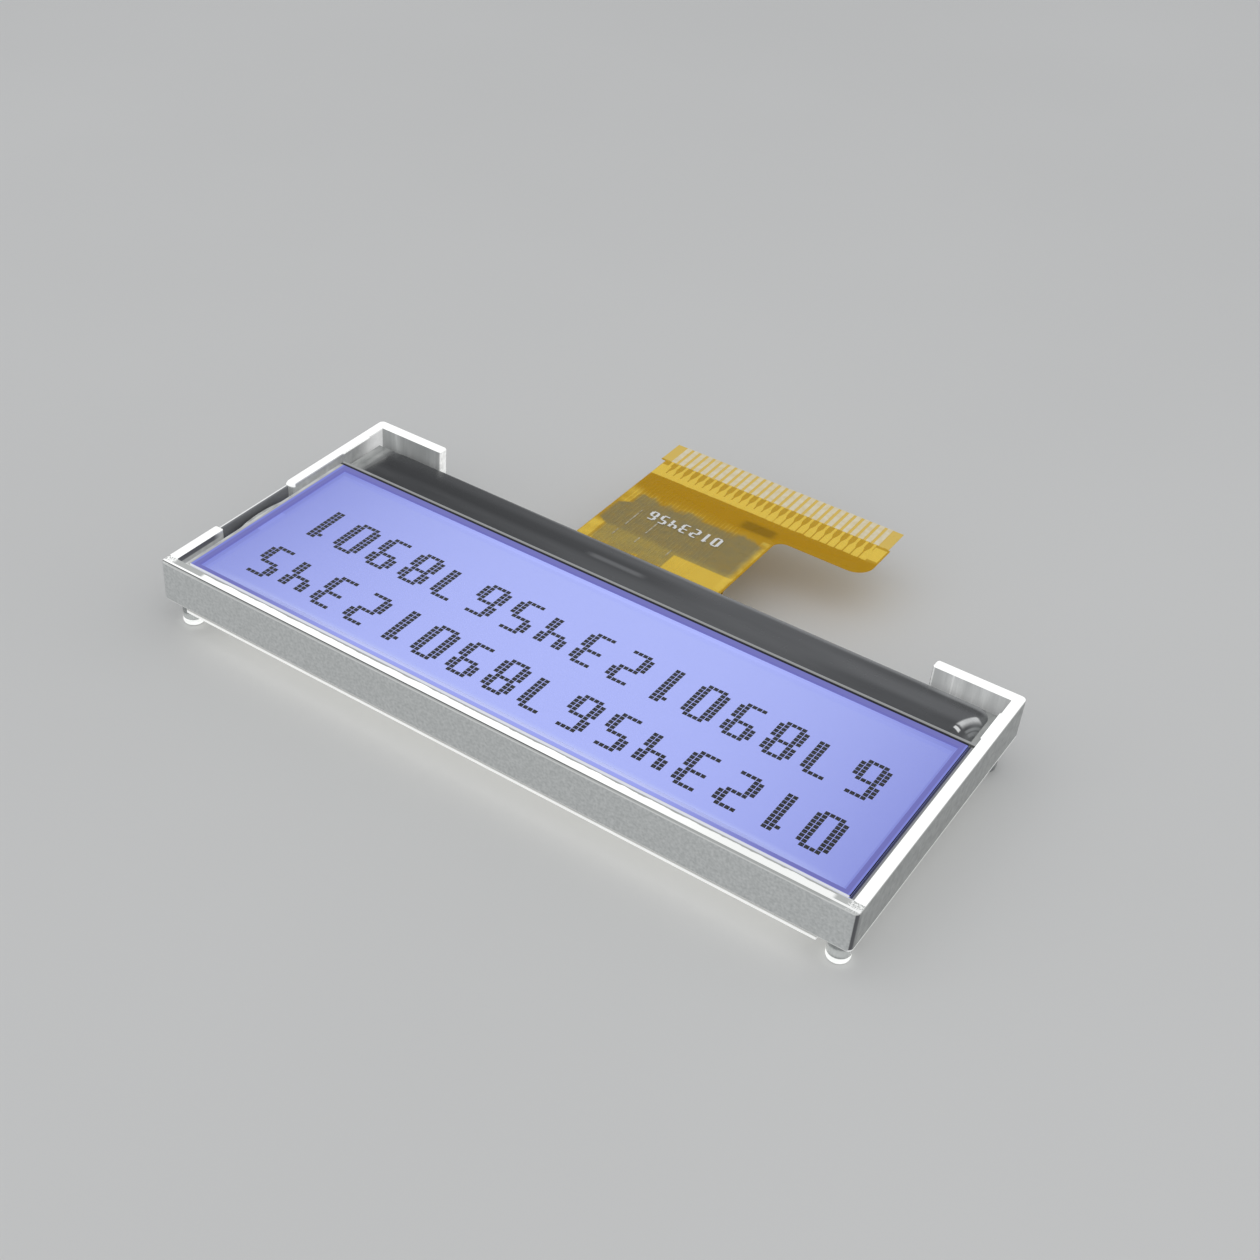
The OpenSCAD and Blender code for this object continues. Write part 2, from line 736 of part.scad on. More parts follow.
light_guide_frame();
reflector_tape();
reflector_sheet();
diffuser_film();
ledge_tape();
led_flex();
led_housings();
led_phosphors();
led_solder();
rear_polariser();
rear_glass();
cell_seal();
end_seal();
liquid_crystal();
dark_dots();
front_glass();
front_polariser();
driver_chip();
chip_bond();
flex_bond();
silicone_bead();
flex_base();
flex_copper();
flex_coverlay();
flex_pads();
flex_marking();
tail_solder();
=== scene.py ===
import math

import bmesh
import bpy
import numpy as np
from mathutils import Matrix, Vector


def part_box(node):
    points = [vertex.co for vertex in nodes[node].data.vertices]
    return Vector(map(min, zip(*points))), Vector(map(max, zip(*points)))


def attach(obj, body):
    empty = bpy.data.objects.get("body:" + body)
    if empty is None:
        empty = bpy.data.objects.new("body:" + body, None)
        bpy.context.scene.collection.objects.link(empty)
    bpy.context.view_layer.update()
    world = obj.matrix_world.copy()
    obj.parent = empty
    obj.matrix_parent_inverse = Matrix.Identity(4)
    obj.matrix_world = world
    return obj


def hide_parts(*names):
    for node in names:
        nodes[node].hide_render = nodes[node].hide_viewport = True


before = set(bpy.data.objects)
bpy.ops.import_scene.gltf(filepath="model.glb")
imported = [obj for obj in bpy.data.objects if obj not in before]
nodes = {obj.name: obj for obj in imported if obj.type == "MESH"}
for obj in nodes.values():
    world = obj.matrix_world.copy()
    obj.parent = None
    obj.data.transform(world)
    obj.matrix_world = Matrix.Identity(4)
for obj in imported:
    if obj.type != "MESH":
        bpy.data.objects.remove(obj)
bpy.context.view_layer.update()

MM = 0.001  # lengths below are in millimetres, and the scene is in metres


def span(node):
    """Lowest and highest corner of a CAD node, in millimetres."""
    low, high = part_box(node)
    return np.array(low) / MM, np.array(high) / MM


# Places that the pieces share
FRAME_LO, FRAME_HI = span("light_guide_frame")
FRONT_LO, FRONT_HI = span("front_glass")
FILM_LO, FILM_HI = span("front_polariser")
CRYSTAL_LO, CRYSTAL_HI = span("liquid_crystal")
BEAD_LO, BEAD_HI = span("silicone_bead")
FLEX_LO, FLEX_HI = span("flex_base")
PADS_HI = span("flex_pads")[1]
COVER_LO, COVER_HI = span("flex_coverlay")
PLUG_LO, PLUG_HI = span("end_seal")

FLOOR_Z = span("reflector_tape")[1][2]  # underside of the tray
GUIDE_Z = span("diffuser_film")[0][2]  # top of the tray's floor
RIM_Z = FRAME_HI[2]
SIDE_WALL, LONG_WALL = 0.95, 1.1
RETURN_L, BAY_D = 7.9, 3.4
CORNER_R, RIM_R, INNER_R = 0.45, 0.12, 0.05
NOTCH_L, NOTCH_DROP, NOTCH_SKIN, NOTCH_R = 8.9, 0.35, 0.4, 0.4
NOTCH_Y = (PLUG_LO[1] + PLUG_HI[1]) / 2
RIB_T, RIB_L = 0.1, 3.9
PEG_R, PEG_BEVEL, PEG_FLARE = 0.95, 0.2, 0.08
PEG_X, PEG_Y = 31.8, 12.9
END_R, END_DROP = 0.25, 0.4  # rounding of a return's free end, and how far its rim falls with it
FOOT_BEVEL = 0.06
DOT, DOT_GAP, DOT_SINK = 0.45, 0.06, 0.008
CRYSTAL_R, CRYSTAL_BEVEL = 0.06, 0.01
FILM_R, FILM_BEVEL = 0.15, 0.03
ROW_CHARS, TEXT_ROWS, CELL_COLS, CELL_ROWS = 16, 2, 8, 16
FIELD_Y = 3.9
NECK_LO, NECK_HI, NECK_R = -5.83, 9.27, 1.0
FLAG_Y, FLAG_R, FINGER_Y = -23.2, 1.8, -25.5
TAB_W, TAB_D = 24.2, 3.2
CLEAR = 0.003  # keeps a film off the face that it lies on, so that the two never share a plane
RIDGE = (-29.9, -8.5), (-30.8, -11.0)
RIDGE_H, RIDGE_W = 0.15, 0.34
BEAD_END, BEAD_ROUND = 1.0, 1.5  # how far one end runs past the solid, and the length of each round end
BEAD_FLAT, BEAD_LIP = 0.93, 0.07  # shares of the bead's depth before its far lip and in it
BEAD_CREST, BEAD_EDGE = 0.25, 0.34  # where the crest lies across the bead, and its height at the far lip


# Meshes

def grid_quads(rows, cols, wrap_rows=False, wrap_cols=False):
    """Quads between neighbours of a grid of points, closed along either side where asked."""
    r = np.arange(rows if wrap_rows else rows - 1)[:, None]
    c = np.arange(cols if wrap_cols else cols - 1)[None, :]
    r1, c1 = (r + 1) % rows, (c + 1) % cols
    quads = [r * cols + c, r1 * cols + c, r1 * cols + c1, r * cols + c1]
    return np.stack(np.broadcast_arrays(*quads), -1).reshape(-1, 4)


def joined(*shells):
    """Several (points, faces) shells as one, with the faces' numbers moved on."""
    points, faces, start = [], [], 0
    for p, f in shells:
        points.append(p)
        faces += [[int(i) + start for i in face] for face in f]
        start += len(p)
    return np.concatenate(points), faces


def piece(name, shell, material, replaces=(), sharp=35.0):
    """A shell in millimetres as an object of the module, normals outward and edges over the angle sharp."""
    points, faces = shell
    mesh = bpy.data.meshes.new(name)
    mesh.from_pydata((np.asarray(points) * MM).tolist(), [], [list(map(int, f)) for f in faces])
    bm = bmesh.new()
    bm.from_mesh(mesh)
    bmesh.ops.remove_doubles(bm, verts=bm.verts, dist=1e-8)
    bmesh.ops.dissolve_degenerate(bm, edges=bm.edges, dist=1e-8)
    bmesh.ops.recalc_face_normals(bm, faces=bm.faces)
    bm.to_mesh(mesh)
    bm.free()
    mesh.polygons.foreach_set("use_smooth", np.ones(len(mesh.polygons), bool))
    mesh.set_sharp_from_angle(angle=math.radians(sharp))
    obj = bpy.data.objects.new(name, mesh)
    bpy.context.scene.collection.objects.link(obj)
    mesh.materials.append(material)
    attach(obj, "root")
    if replaces:
        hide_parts(*replaces)
    return obj


def slab(outline, z0, z1):
    """A prism: the outline at two heights, walls between them and a face at each end."""
    ring = np.asarray(outline, float)
    n = len(ring)
    points = np.concatenate([np.column_stack([ring, np.full(n, z)]) for z in (z0, z1)])
    walls = grid_quads(2, n, wrap_cols=True)
    return points, walls.tolist() + [list(range(n))[::-1], list(range(n, 2 * n))]


def rectangle(x0, y0, x1, y1):
    return [[x0, y0], [x1, y0], [x1, y1], [x0, y1]]


def film_shell(low, high, radius, bevel):
    """A thin plate with quarter-round corners: its outline at the underside, again below the bevel and,
    drawn in by the bevel, on top."""
    turn = np.radians(np.linspace(0, 90, 7))
    turns = np.concatenate([turn + k * np.pi / 2 for k in range(4)])
    signs = np.repeat([[1, 1], [-1, 1], [-1, -1], [1, -1]], len(turn), axis=0)
    middle, half = (low + high)[:2] / 2, (high - low)[:2] / 2
    round_part = np.column_stack([np.cos(turns), np.sin(turns)])

    def ring(inset, z):
        plan = middle + signs * (half - radius) + (radius - inset) * round_part
        return np.column_stack([plan, np.full(len(plan), z)])

    points = np.concatenate([ring(0, low[2]), ring(0, high[2] - bevel), ring(bevel, high[2])])
    n = len(turns)
    walls = grid_quads(3, n, wrap_cols=True).tolist()
    return points, walls + [list(range(n))[::-1], list(range(2 * n, 3 * n))]


def cover_shell():
    """The cover over the traces: the flex's outline down to the pads, just clear of the copper, with an arc
    inside the neck's corner and one round the flag's free corner."""
    turn = np.radians(np.linspace(0, 90, 9))
    arc = np.column_stack([np.cos(turn), np.sin(turn)])
    flag_x, tab_y, end_y = COVER_LO[0], FLEX_LO[1] + TAB_D, PADS_HI[1]
    tab_x0, tab_x1 = FLEX_HI[0] - TAB_W, FLEX_HI[0]
    outline = np.concatenate([
        [[NECK_HI, COVER_HI[1]], [NECK_LO, COVER_HI[1]]],
        np.array([NECK_LO - NECK_R, FLAG_Y + NECK_R]) + NECK_R * arc * [1, -1],
        np.array([flag_x + FLAG_R, FLAG_Y - FLAG_R]) + FLAG_R * arc[::-1] * [-1, 1],
        [[flag_x, tab_y], [tab_x0, tab_y], [tab_x0, end_y]],
        [[tab_x1, end_y], [tab_x1, tab_y], [NECK_HI, tab_y]],
    ])
    return slab(outline, COVER_LO[2] + CLEAR, COVER_HI[2])


def revolve(profile, centre, steps=40):
    """A profile of radius and height turned about an upright axis, with a face that closes each end."""
    profile = np.asarray(profile, float)
    turn = np.linspace(0, 2 * np.pi, steps, endpoint=False)
    r, z = profile[:, :1], profile[:, 1:]
    points = np.stack([
        centre[0] + r * np.cos(turn), centre[1] + r * np.sin(turn), np.broadcast_to(z, (len(profile), steps))
    ], -1).reshape(-1, 3)
    quads = grid_quads(len(profile), steps, wrap_cols=True).tolist()
    last = (len(profile) - 1) * steps
    return points, quads + [list(range(steps))[::-1], list(range(last, last + steps))]


def wall_stations():
    """Points of the tray's outer and inner outline, side by side from one return's free end to the other's,
    and the rim's height at each. Ends and corners are quarter circles. At the notch the rim falls and the
    wall thins along a quarter ellipse."""
    outer, inner, rim = [], [], []

    def add(o, i, z):
        o, i = np.atleast_2d(o), np.atleast_2d(i)
        outer.append(o)
        inner.append(i)
        rim.append(np.broadcast_to(z, len(o)))

    x, y = FRAME_HI[0], FRAME_HI[1]
    lean = np.radians(np.linspace(0, 90, 6))

    def free_end(side):
        along = x - RETURN_L + END_R * (1 - np.cos(lean))
        tuck = END_R * (1 - np.sin(lean))
        order = slice(None) if side < 0 else slice(None, None, -1)
        o = np.column_stack([side * along, -y + tuck])[order]
        i = np.column_stack([side * along, -y + LONG_WALL - tuck])[order]
        add(o, i, (RIM_Z - END_DROP * tuck)[order])

    def corner(sx, sy, start):
        turn = np.radians(start - np.linspace(0, 90, 10))
        ring = np.column_stack([np.cos(turn), np.sin(turn)])
        sign = np.array([sx, sy])
        o = sign * (np.array([x, y]) - CORNER_R) + CORNER_R * ring
        i = sign * (np.array([x - SIDE_WALL, y - LONG_WALL]) - INNER_R) + INNER_R * ring
        add(o, i, RIM_Z)

    free_end(-1)
    corner(-1, -1, 270)
    corner(-1, 1, 180)
    corner(1, 1, 90)
    share = np.linspace(0, 1, 8)
    fall = 1 - np.sqrt(1 - share ** 2)
    reach = NOTCH_L / 2 + NOTCH_R * (1 - share)
    ys = NOTCH_Y + np.concatenate([reach, -reach[::-1]])
    fall = np.concatenate([fall, fall[::-1]])
    thick = SIDE_WALL - (SIDE_WALL - NOTCH_SKIN) * fall
    notch_outer = np.column_stack([np.full(len(ys), x), ys])
    add(notch_outer, np.column_stack([x - thick, ys]), RIM_Z - NOTCH_DROP * fall)
    corner(1, -1, 0)
    free_end(1)
    return np.concatenate(outer), np.concatenate(inner), np.concatenate(rim)


def wall_shell():
    """The wall's profile, with a quarter round on each edge of the rim, carried along the outline's
    stations."""
    outer, inner, rim = wall_stations()
    across = inner - outer
    across /= np.linalg.norm(across, axis=1, keepdims=True)
    bend = np.radians(np.linspace(0, 90, 6))
    steps = len(bend)
    from_outer = np.array([1] * (steps + 1) + [0] * (steps + 1) + [1], bool)
    inset = np.concatenate([[0], RIM_R * (1 - np.cos(bend)), INNER_R * (1 - np.sin(bend)), [0], [FOOT_BEVEL]])
    drop = np.concatenate([[FOOT_BEVEL], RIM_R * (np.sin(bend) - 1), INNER_R * (np.cos(bend) - 1), [0], [0]])
    from_rim = np.array([0] + [1] * (2 * steps) + [0, 0], bool)
    base = np.where(from_outer[None, :, None], outer[:, None], inner[:, None])
    plan = base + np.where(from_outer, 1, -1)[None, :, None] * inset[None, :, None] * across[:, None]
    z = np.where(from_rim[None], rim[:, None], FLOOR_Z) + drop[None]
    points = np.concatenate([plan, z[..., None]], -1)
    n, k = points.shape[:2]
    faces = grid_quads(n, k, wrap_cols=True).tolist()
    faces += [list(range(k)), list(range((n - 1) * k, n * k))[::-1]]
    return points.reshape(-1, 3), faces


def tray_shell():
    """The tray: its wall, the floor that guides the light with the LED bay left out, the floor's sill under
    the notch, where the wall is thin, and a rib on each side wall."""
    x, y = FRAME_HI[0] - SIDE_WALL, FRAME_HI[1] - LONG_WALL
    bay_x, bay_y = FRAME_HI[0] - RETURN_L, FRAME_LO[1] + BAY_D
    outline = [[-x, y], [-x, -y], [-bay_x, -y], [-bay_x, bay_y], [bay_x, bay_y], [bay_x, -y], [x, -y], [x, y]]
    floor = slab(outline, FLOOR_Z, GUIDE_Z)
    skin_x, reach = FRAME_HI[0] - NOTCH_SKIN / 2, NOTCH_L / 2 + NOTCH_R
    sill = rectangle(x - RIB_T, NOTCH_Y - reach, skin_x, NOTCH_Y + reach)
    sill = slab(sill, FLOOR_Z + CLEAR, GUIDE_Z - CLEAR)
    y0, y1 = FRONT_LO[1], FRONT_LO[1] - RIB_L
    rib = np.array([[x, y0], [x - RIB_T, y0 - RIB_T], [x - RIB_T, y1 + RIB_T], [x, y1]])
    ribs = [slab(rib * [s, 1], GUIDE_Z, RIM_Z - INNER_R) for s in (-1, 1)]
    return joined(wall_shell(), floor, sill, *ribs)


def peg_shell():
    """Four pegs: a bevelled end, a straight shank and a flare at the root, turned about their axes."""
    low, turn, flare_z = FRAME_LO[2], 0.3 * PEG_BEVEL, 0.05
    profile = [
        [PEG_R - PEG_BEVEL, low], [PEG_R - turn, low + turn], [PEG_R, low + PEG_BEVEL],
        [PEG_R, flare_z], [PEG_R + PEG_FLARE, FLOOR_Z]
    ]
    return joined(*[revolve(profile, (sx * PEG_X, sy * PEG_Y)) for sx in (-1, 1) for sy in (-1, 1)])


TOP_BAR, MID_BAR, LOW_BAR = (2, 2, 4, 1), (2, 6, 4, 1), (2, 11, 4, 1)
LEFT_UP, LEFT_LOW, LEFT_ALL = (1, 3, 2, 3), (1, 7, 2, 4), (1, 3, 2, 8)
RIGHT_UP, RIGHT_LOW, RIGHT_ALL = (5, 3, 2, 3), (5, 7, 2, 4), (5, 3, 2, 8)
DIGITS = [
    [TOP_BAR, LEFT_ALL, RIGHT_ALL, LOW_BAR], [(3, 2, 2, 10), (2, 3, 1, 1)],
    [TOP_BAR, RIGHT_UP, MID_BAR, LEFT_LOW, LOW_BAR], [TOP_BAR, RIGHT_UP, MID_BAR, RIGHT_LOW, LOW_BAR],
    [LEFT_UP, RIGHT_UP, MID_BAR, RIGHT_LOW], [TOP_BAR, LEFT_UP, MID_BAR, RIGHT_LOW, LOW_BAR],
    [TOP_BAR, LEFT_UP, MID_BAR, LEFT_LOW, RIGHT_LOW, LOW_BAR], [TOP_BAR, RIGHT_ALL],
    [TOP_BAR, LEFT_UP, RIGHT_UP, MID_BAR, LEFT_LOW, RIGHT_LOW, LOW_BAR],
    [TOP_BAR, LEFT_UP, RIGHT_UP, MID_BAR, RIGHT_LOW, LOW_BAR],
]


def lit_dots():
    """Column and row of each dark dot, counted from the top left: every bar of every digit is a block of
    whole dots."""
    cells = []
    for row in range(TEXT_ROWS):
        for column in range(ROW_CHARS):
            for c, r, w, h in DIGITS[(row * ROW_CHARS + column) % 10]:
                block = np.mgrid[c:c + w, r:r + h].reshape(2, -1).T
                cells.append(block + [column * CELL_COLS, row * CELL_ROWS])
    return np.unique(np.concatenate(cells), axis=0)


def dot_shell():
    """A flat block for each dark dot, a gap smaller than the dot pitch, just under the front pane."""
    dots = lit_dots()
    x = (dots[:, 0] + 0.5 - ROW_CHARS * CELL_COLS / 2) * DOT
    y = FIELD_Y + (TEXT_ROWS * CELL_ROWS / 2 - dots[:, 1] - 0.5) * DOT
    half = (DOT - DOT_GAP) / 2
    z0, z1 = CRYSTAL_HI[2] - DOT_SINK, CRYSTAL_HI[2] - CLEAR
    sx = np.array([-1, 1, 1, -1] * 2) * half
    sy = np.array([-1, -1, 1, 1] * 2) * half
    z = np.array([z0] * 4 + [z1] * 4)
    points = np.stack([x[:, None] + sx, y[:, None] + sy, np.broadcast_to(z, (len(x), 8))], -1).reshape(-1, 3)
    box = np.array([[3, 2, 1, 0], [4, 5, 6, 7], [0, 1, 5, 4], [1, 2, 6, 5], [2, 3, 7, 6], [3, 0, 4, 7]])
    faces = (box[None] + 8 * np.arange(len(x))[:, None, None]).reshape(-1, 4)
    return points, faces


def crystal_shell():
    """The lit layer: a plate with round corners inside the glue ring, its top under the dark dots."""
    return film_shell(CRYSTAL_LO, CRYSTAL_HI - [0, 0, DOT_SINK], CRYSTAL_R, CRYSTAL_BEVEL)


def bead_shell():
    """The silicone bead. Across the ledge it has a meniscus on the front pane, a low crest and a rounded
    far lip. Along the ledge the section shrinks to nothing over a quarter round at each end, swells a
    little on a slow wave, and has a bell-shaped ridge on the line where the bead was pulled off."""
    fine_l, fine_step, dip, swell_share = 4.0, 0.1, 0.05, 0.02
    end_in, near_share, thin = 1.2, 0.3, 0.3
    x0, x1 = BEAD_LO[0] - BEAD_END, BEAD_HI[0]
    end, fine = BEAD_ROUND, x0 + fine_l
    ease = end * (1 - np.cos(np.radians(np.linspace(0, 90, 14))))
    near_ridge = np.arange(x0 + end, fine, fine_step)[1:]
    x = np.unique(np.concatenate([x0 + ease, near_ridge, np.linspace(fine, x1 - end, 110), x1 - ease]))
    to_end = np.minimum(x - x0, x1 - x)
    taper = np.sqrt(np.clip(1 - (np.clip(end - to_end, 0, end) / end) ** 2, 0, 1))
    top = BEAD_HI[2] - BEAD_LO[2]
    depth = BEAD_HI[1] - BEAD_LO[1]
    lip_turn = np.sin(np.radians(np.linspace(15, 90, 6)))
    b = np.concatenate([[0], np.linspace(0, BEAD_FLAT, 26), BEAD_FLAT + BEAD_LIP * lip_turn])
    fall = (1 - BEAD_EDGE) * np.clip((b - BEAD_CREST) / (1 - BEAD_CREST), 0, 1) ** 2
    arc = 1 - fall - dip * np.clip((BEAD_CREST - b) / BEAD_CREST, 0, 1) ** 2
    lip = np.sqrt(np.clip(1 - (np.clip(b - BEAD_FLAT, 0, BEAD_LIP) / BEAD_LIP) ** 2, 0, 1))
    section = top * arc * lip
    section[0] = 0
    swell = 1 - swell_share * (1 - np.sin(x * 0.31 + 0.6) * np.sin(x * 0.13))
    plan_in = end_in * (1 - taper)
    y = BEAD_HI[1] - b[None] * (depth - plan_in[:, None]) - near_share * plan_in[:, None] * (1 - b[None])
    (ax, ay), (bx, by) = RIDGE
    share = ((x[:, None] - ax) * (bx - ax) + (y - ay) * (by - ay)) / ((bx - ax) ** 2 + (by - ay) ** 2)
    share = np.clip(share, 0, 1)
    off = np.hypot(x[:, None] - ax - share * (bx - ax), y - ay - share * (by - ay))
    height = section[None] * (taper * swell)[:, None]
    z = BEAD_LO[2] + height + RIDGE_H * np.exp(-(off / RIDGE_W) ** 2) * np.clip(height / thin, 0, 1)
    points = np.stack([np.broadcast_to(x[:, None], z.shape), y, z], -1)
    n, k = points.shape[:2]
    faces = grid_quads(n, k, wrap_cols=True).tolist()
    faces += [list(range(k)), list(range((n - 1) * k, n * k))[::-1]]
    return points.reshape(-1, 3), faces


# Finishes

def node_group(name, inputs, outputs, build):
    """A shader node group with named sockets, filled in by build(tree, entry, exit)."""
    tree = bpy.data.node_groups.new(name, "ShaderNodeTree")
    for way, sockets in (("INPUT", inputs), ("OUTPUT", outputs)):
        for label, kind in sockets:
            tree.interface.new_socket(label, in_out=way, socket_type="NodeSocket" + kind)
    build(tree, tree.nodes.new("NodeGroupInput"), tree.nodes.new("NodeGroupOutput"))
    return tree


def wire(tree, socket, value):
    """Links an output to a socket, or sets a plain value on it."""
    if isinstance(value, bpy.types.NodeSocket):
        tree.links.new(value, socket)
    else:
        socket.default_value = value


def put(tree, kind, settings=None, **inputs):
    """A new node with its settings, and its inputs by name or, as i0, i1 and so on, by place."""
    node = tree.nodes.new("ShaderNode" + kind)
    for key, value in (settings or {}).items():
        setattr(node, key, value)
    for key, value in inputs.items():
        where = int(key[1:]) if key[0] == "i" and key[1:].isdigit() else key.replace("_", " ")
        wire(tree, node.inputs[where], value)
    return node


def calc(tree, operation, a, b=0.0, clamp=False):
    return put(tree, "Math", {"operation": operation, "use_clamp": clamp}, i0=a, i1=b).outputs[0]


def build_grain(tree, entry, leave):
    """Noise at a scale, stretched to run from low to high."""
    noise = put(tree, "TexNoise", Vector=entry.outputs["Place"], Scale=entry.outputs["Scale"], Detail=4.0)
    value = put(tree, "MapRange", Value=noise.outputs[0], From_Min=0.3, From_Max=0.7,
                To_Min=entry.outputs["Low"], To_Max=entry.outputs["High"])
    wire(tree, leave.inputs["Value"], value.outputs[0])


def build_band(tree, entry, leave):
    """One inside a band about a centre, falling to nothing over a soft edge."""
    off = calc(tree, "ABSOLUTE", calc(tree, "SUBTRACT", entry.outputs["Value"], entry.outputs["Centre"]))
    end = calc(tree, "ADD", entry.outputs["Half"], entry.outputs["Soft"])
    mask = put(tree, "MapRange", {"interpolation_type": "SMOOTHSTEP"}, Value=off,
               From_Min=entry.outputs["Half"], From_Max=end, To_Min=1.0, To_Max=0.0)
    wire(tree, leave.inputs["Mask"], mask.outputs[0])


FLOAT, VECTOR = "Float", "Vector"
GRAIN = node_group("fine_grain", [("Place", VECTOR), ("Scale", FLOAT), ("Low", FLOAT), ("High", FLOAT)],
                   [("Value", FLOAT)], build_grain)
BAND = node_group("soft_band", [("Value", FLOAT), ("Centre", FLOAT), ("Half", FLOAT), ("Soft", FLOAT)],
                  [("Mask", FLOAT)], build_band)


class Finish:
    """A material with one Principled shader, the place on the piece in millimetres, and calls for what the
    finishes share."""

    def __init__(self, name, **constants):
        self.material = bpy.data.materials.new(name)
        self.material.use_nodes = True
        self.tree = self.material.node_tree
        self.tree.nodes.clear()
        self.shader = put(self.tree, "BsdfPrincipled", **constants)
        end = put(self.tree, "OutputMaterial")
        self.tree.links.new(self.shader.outputs[0], end.inputs[0])
        where = put(self.tree, "TexCoord").outputs["Object"]
        self.place = put(self.tree, "VectorMath", {"operation": "SCALE"}, i0=where, Scale=1 / MM).outputs[0]
        self.x, self.y, self.z = put(self.tree, "SeparateXYZ", i0=self.place).outputs

    def node(self, kind, settings=None, **inputs):
        return put(self.tree, kind, settings, **inputs)

    def calc(self, operation, a, b=0.0, clamp=False):
        return calc(self.tree, operation, a, b, clamp)

    def group(self, tree, **inputs):
        node = self.tree.nodes.new("ShaderNodeGroup")
        node.node_tree = tree
        for key, value in inputs.items():
            wire(self.tree, node.inputs[key], value)
        return node.outputs[0]

    def grain(self, scale, low, high, place=None):
        return self.group(GRAIN, Place=place or self.place, Scale=scale, Low=low, High=high)

    def band(self, value, centre, half, soft):
        return self.group(BAND, Value=value, Centre=centre, Half=half, Soft=soft)

    def over(self, value, start, end):
        """Nothing below start, one above end, smooth between."""
        return self.node("MapRange", {"interpolation_type": "SMOOTHSTEP"}, Value=value, From_Min=start,
                         From_Max=end).outputs[0]

    def mix(self, factor, a, b):
        node = self.node("Mix", {"data_type": "RGBA"})
        for socket, value in ((node.inputs[0], factor), (node.inputs[6], a), (node.inputs[7], b)):
            wire(self.tree, socket, (*value, 1.0) if isinstance(value, tuple) and len(value) == 3 else value)
        return node.outputs[2]

    def stretched(self, sx, sy, sz):
        """The place with each axis stretched, for grain that runs one way."""
        return self.node("VectorMath", {"operation": "MULTIPLY"}, i0=self.place, i1=(sx, sy, sz)).outputs[0]

    def facing(self):
        """Which way the surface faces, as x, y and z."""
        return self.node("SeparateXYZ", i0=self.node("NewGeometry").outputs["Normal"]).outputs

    def set(self, **inputs):
        for key, value in inputs.items():
            wire(self.tree, self.shader.inputs[key.replace("_", " ")], value)

    def bump(self, height, strength, distance=0.02 * MM):
        self.set(Normal=self.node("Bump", Height=height, Strength=strength, Distance=distance).outputs[0])


def srgb(r, g, b):
    """A colour as it is seen, 0 to 255, in linear light."""
    c = np.array([r, g, b]) / 255
    return tuple(np.where(c <= 0.04045, c / 12.92, ((c + 0.055) / 1.055) ** 2.4).tolist())


def dim(strength):
    """A grey of one strength, in linear light."""
    return strength, strength, strength


WHITE, BLACK, NO_LIGHT = srgb(249, 250, 247), srgb(22, 23, 26), dim(0.0)
RIM_LIGHT = (0.68, 0.68, 0.67)


